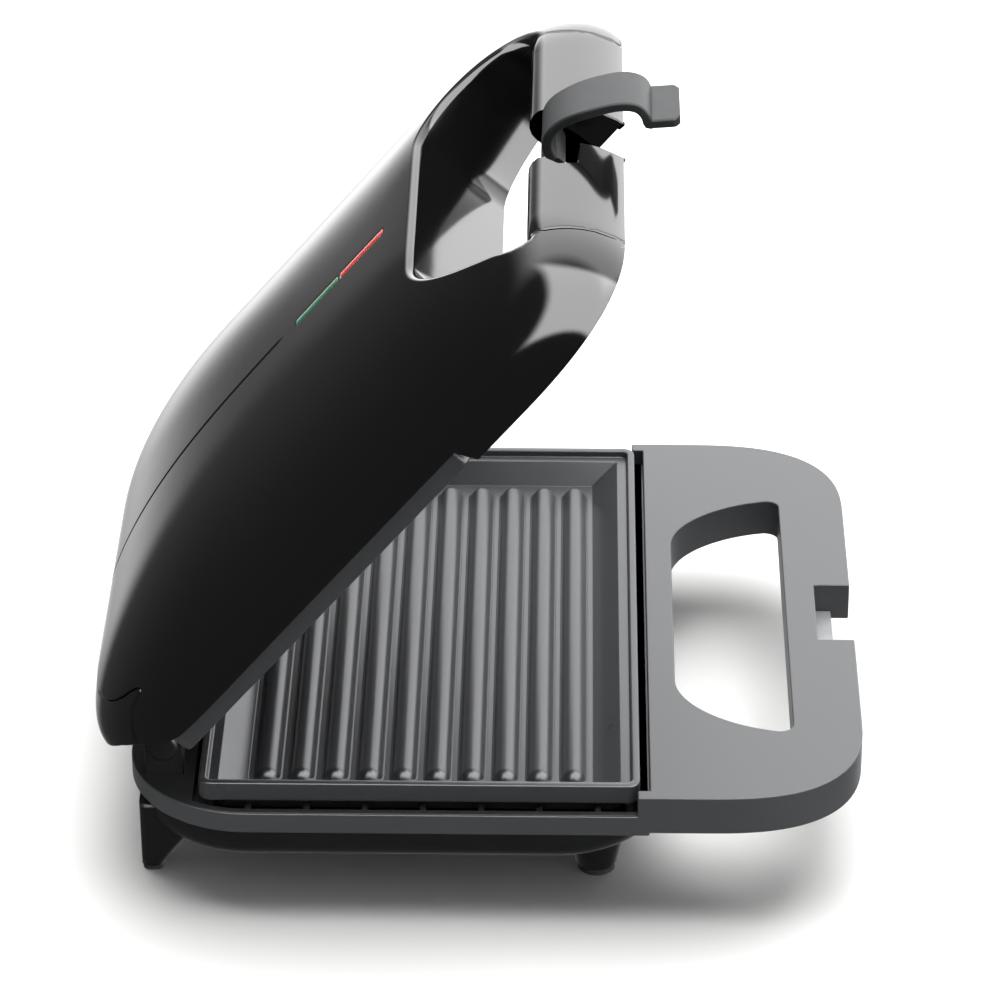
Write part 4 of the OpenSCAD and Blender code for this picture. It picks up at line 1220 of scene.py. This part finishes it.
class PRESS_OT_latch(bpy.types.Operator):
    """Make the latch: a curved strap with a hooked tab and the barrel round its pin"""
    bl_idname = "press.latch"
    bl_label = "Latch"

    def execute(self, context):
        sizes = context.scene.press_sizes
        half_t = sizes.strap_t / MM / 2
        line = latch_line()
        along = np.gradient(line, axis=0)
        along /= np.linalg.norm(along, axis=1)[:, None]
        across = np.column_stack([-along[:, 1], along[:, 0]])
        left = np.concatenate([[0], np.cumsum(np.linalg.norm(np.diff(line, axis=0), axis=1))])
        left = left[-1] - left
        corner, slot_flare, tab_flare = 2.0, 0.75, 0.95
        loops = []
        for p, side, rest in zip(line, across, left):
            back = max(0.0, corner - rest)
            # The strap widens a little where it still swings through the lid's slot, and more at the tab.
            flare = slot_flare * eased((p[0] - 13) / 9) + tab_flare * eased((-p[1] - 6) / 5)
            half_w = sizes.strap_w / MM / 2 + flare - (corner - math.sqrt(corner ** 2 - back ** 2))
            loop = []
            for x, t in superquarter((half_w - 0.8, half_t - 0.8), (0.8, 0.8), 2, 0, 4):
                loop.append((x, t))
            ringed = loop + [(-x, t) for x, t in reversed(loop)]
            ringed += [(-x, -t) for x, t in loop] + [(x, -t) for x, t in reversed(loop)]
            loops.append([(x, -(p[0] + side[0] * t), p[1] + side[1] * t) for x, t in ringed])
        end = np.array(loops[-1])
        beyond = [0, -along[-1][0] * 0.3, along[-1][1] * 0.3]
        loops.append([tuple(v) for v in end * 0.97 + end.mean(axis=0) * 0.03 + beyond])
        verts, faces = loft(loops)
        turns = np.linspace(0, 2 * math.pi, 33)[:-1]
        barrel = loft([[(x, r * math.cos(a), r * math.sin(a)) for a in turns]
                       for x, r in ((-10.6, 3.3), (-10.9, 3.8), (10.9, 3.8), (10.6, 3.3))])
        place = OPENED @ Matrix.Translation(PIVOT)
        verts, faces = merged([(verts, faces), barrel])
        mesh = mesh_of("strap", verts, faces, place)
        fix = bmesh.new()
        fix.from_mesh(mesh)
        bmesh.ops.recalc_face_normals(fix, faces=fix.faces)
        fix.to_mesh(mesh)
        fix.free()
        piece("latch_strap", weighted(mesh), "latch", "latch_nylon", "latch")
        return {"FINISHED"}


# ---- carried-over parts ----

class PRESS_OT_finishes(bpy.types.Operator):
    """Give every CAD node that stays in view the finish of its material slot"""
    bl_idname = "press.finishes"
    bl_label = "Finishes"

    def execute(self, context):
        for name, obj in frame["nodes"].items():
            obj.data.materials.clear()
            obj.data.materials.append(finish_of(SLOT_OF[name]))
        return {"FINISHED"}


# ---- stage ----

class PRESS_OT_stage(bpy.types.Operator):
    """Set the floor, the soft lights, the sky and the camera"""
    bl_idname = "press.stage"
    bl_label = "Stage"

    def execute(self, context):
        scene = context.scene
        scene.view_settings.view_transform = "Standard"
        self.floor(scene)
        self.sky(scene)
        self.lights(scene)
        self.camera(scene)
        return {"FINISHED"}

    def floor(self, scene):
        half = 6.0
        mesh = bpy.data.meshes.new("floor")
        corner = [(-half, -half, 0), (half, -half, 0), (half, half, 0), (-half, half, 0)]
        mesh.from_pydata(corner, [], [(0, 1, 2, 3)])
        floor = bpy.data.objects.new("floor", mesh)
        scene.collection.objects.link(floor)
        # Seamless paper sweep: matt, with a faint tooth.
        mat, shader, where = finish("paper_sweep", scene.press_colours.floor, 0.9)
        grain(mat, shader, where, 2.0, 0.01)
        mesh.materials.append(mat)
        floor.visible_glossy = False

    def sky(self, scene):
        world = bpy.data.worlds.new("studio")
        scene.world = world
        world.use_nodes = True
        back = world.node_tree.nodes["Background"]
        place = add(world, "ShaderNodeTexCoord")
        # What gloss surfaces mirror: a softbox overhead, a lit wall behind the press, the pale sweep beyond.
        mirrored = self.level(world, ROOM)
        for direction, halves, edge, level in SOFTBOXES:
            ahead = Vector(direction).normalized()
            across = ahead.cross(Vector((1, 0, 0)) if ahead.z > 0.7 else Vector((0, 0, 1))).normalized()
            shine = self.level(world, level)
            for axis, half in ((across.cross(ahead), halves[0]), (across, halves[1])):
                reach = self.along(world, place, axis, "ABSOLUTE")
                fade = add(world, "ShaderNodeMapRange",
                           {"From Min": half, "From Max": half + edge, "To Min": 1.0, "To Max": 0.0,
                            "interpolation_type": "SMOOTHSTEP"}, Value=reach)
                shine = self.joined(world, "MULTIPLY", shine, fade.outputs["Result"])
            facing = self.along(world, place, ahead, "SIGN")
            shine = self.joined(world, "MULTIPLY", shine, facing)
            shine = self.joined(world, "MAXIMUM", shine, self.level(world, 0.0))
            mirrored = self.joined(world, "ADD", mirrored, shine)
        path = add(world, "ShaderNodeLightPath")
        soft = add(world, "ShaderNodeMix", {"data_type": "FLOAT"})
        world.node_tree.links.new(path.outputs["Is Glossy Ray"], soft.inputs["Factor"])
        world.node_tree.links.new(mirrored, soft.inputs[3])
        soft.inputs[2].default_value = AMBIENT
        mix = add(world, "ShaderNodeMix", {"data_type": "FLOAT"})
        world.node_tree.links.new(path.outputs["Is Camera Ray"], mix.inputs["Factor"])
        world.node_tree.links.new(soft.outputs[0], mix.inputs[2])
        mix.inputs[3].default_value = 1.0
        back.inputs["Color"].default_value = (1, 1, 1, 1)
        world.node_tree.links.new(mix.outputs[0], back.inputs["Strength"])

    def level(self, world, amount):
        """A steady brightness."""
        value = add(world, "ShaderNodeValue")
        value.outputs["Value"].default_value = amount
        return value.outputs["Value"]

    def joined(self, world, operation, first, second):
        """Two values brought together by one operation."""
        node = add(world, "ShaderNodeMath", {"operation": operation})
        world.node_tree.links.new(first, node.inputs[0])
        world.node_tree.links.new(second, node.inputs[1])
        return node.outputs["Value"]

    def along(self, world, place, axis, operation):
        """How far a direction leans along an axis, as a size or a sign."""
        reach = add(world, "ShaderNodeVectorMath", {"operation": "DOT_PRODUCT"},
                    Vector=place.outputs["Generated"])
        reach.inputs[1].default_value = axis
        node = add(world, "ShaderNodeMath", {"operation": operation})
        world.node_tree.links.new(reach.outputs["Value"], node.inputs[0])
        return node.outputs["Value"]

    def lights(self, scene):
        rig = (("overhead", (0.35, -0.1, 1.6), (2.0, 2.0), 64), ("behind", (1.3, -0.45, 1.2), (1.6, 1.2), 12))
        for name, place, size, watts in rig:
            data = bpy.data.lights.new(name, "AREA")
            data.shape = "RECTANGLE"
            data.size, data.size_y = size
            data.energy = watts
            lamp = bpy.data.objects.new(name, data)
            lamp.location = place
            lamp.rotation_euler = (Vector((0, 0, 0.1)) - Vector(place)).to_track_quat("-Z", "Y").to_euler()
            lamp.visible_glossy = False
            scene.collection.objects.link(lamp)

    def camera(self, scene):
        data = bpy.data.cameras.new("camera")
        data.lens = 171.5
        data.sensor_width = 36
        camera = bpy.data.objects.new("camera", data)
        aim = Vector((0.0, -0.0062, 0.0882))
        height, turn = math.radians(30), math.radians(0.887)
        level = math.cos(height)
        look = Vector((level * math.cos(turn), level * math.sin(turn), -math.sin(height)))
        camera.location = aim - look * 1.537
        camera.rotation_euler = look.to_track_quat("-Z", "Y").to_euler()
        scene.collection.objects.link(camera)
        scene.camera = camera


# ---- panel and registration ----

OPERATORS = (PRESS_OT_finishes, PRESS_OT_base, PRESS_OT_tub, PRESS_OT_feet, PRESS_OT_plates, PRESS_OT_lid,
             PRESS_OT_windows, PRESS_OT_latch, PRESS_OT_stage)


class PRESS_PT_panel(bpy.types.Panel):
    """Sidebar panel with the press's sizes, colours and pieces"""
    bl_idname = "PRESS_PT_panel"
    bl_label = "Panini press"
    bl_space_type = "VIEW_3D"
    bl_region_type = "UI"
    bl_category = "Press"

    def draw(self, context):
        for group in (context.scene.press_sizes, context.scene.press_colours):
            box = self.layout.box()
            for name in group.__annotations__:
                box.prop(group, name)
        for operator in OPERATORS:
            self.layout.operator(operator.bl_idname)


CLASSES = (PressSizes, PressColours) + OPERATORS + (PRESS_PT_panel,)


def register():
    for cls in CLASSES:
        bpy.utils.register_class(cls)
    bpy.types.Scene.press_sizes = PointerProperty(type=PressSizes)
    bpy.types.Scene.press_colours = PointerProperty(type=PressColours)


def unregister():
    del bpy.types.Scene.press_colours
    del bpy.types.Scene.press_sizes
    for cls in reversed(CLASSES):
        bpy.utils.unregister_class(cls)


def main():
    register()
    for operator in OPERATORS:
        group, name = operator.bl_idname.split(".")
        getattr(getattr(bpy.ops, group), name)()


if __name__ == "__main__":
    main()
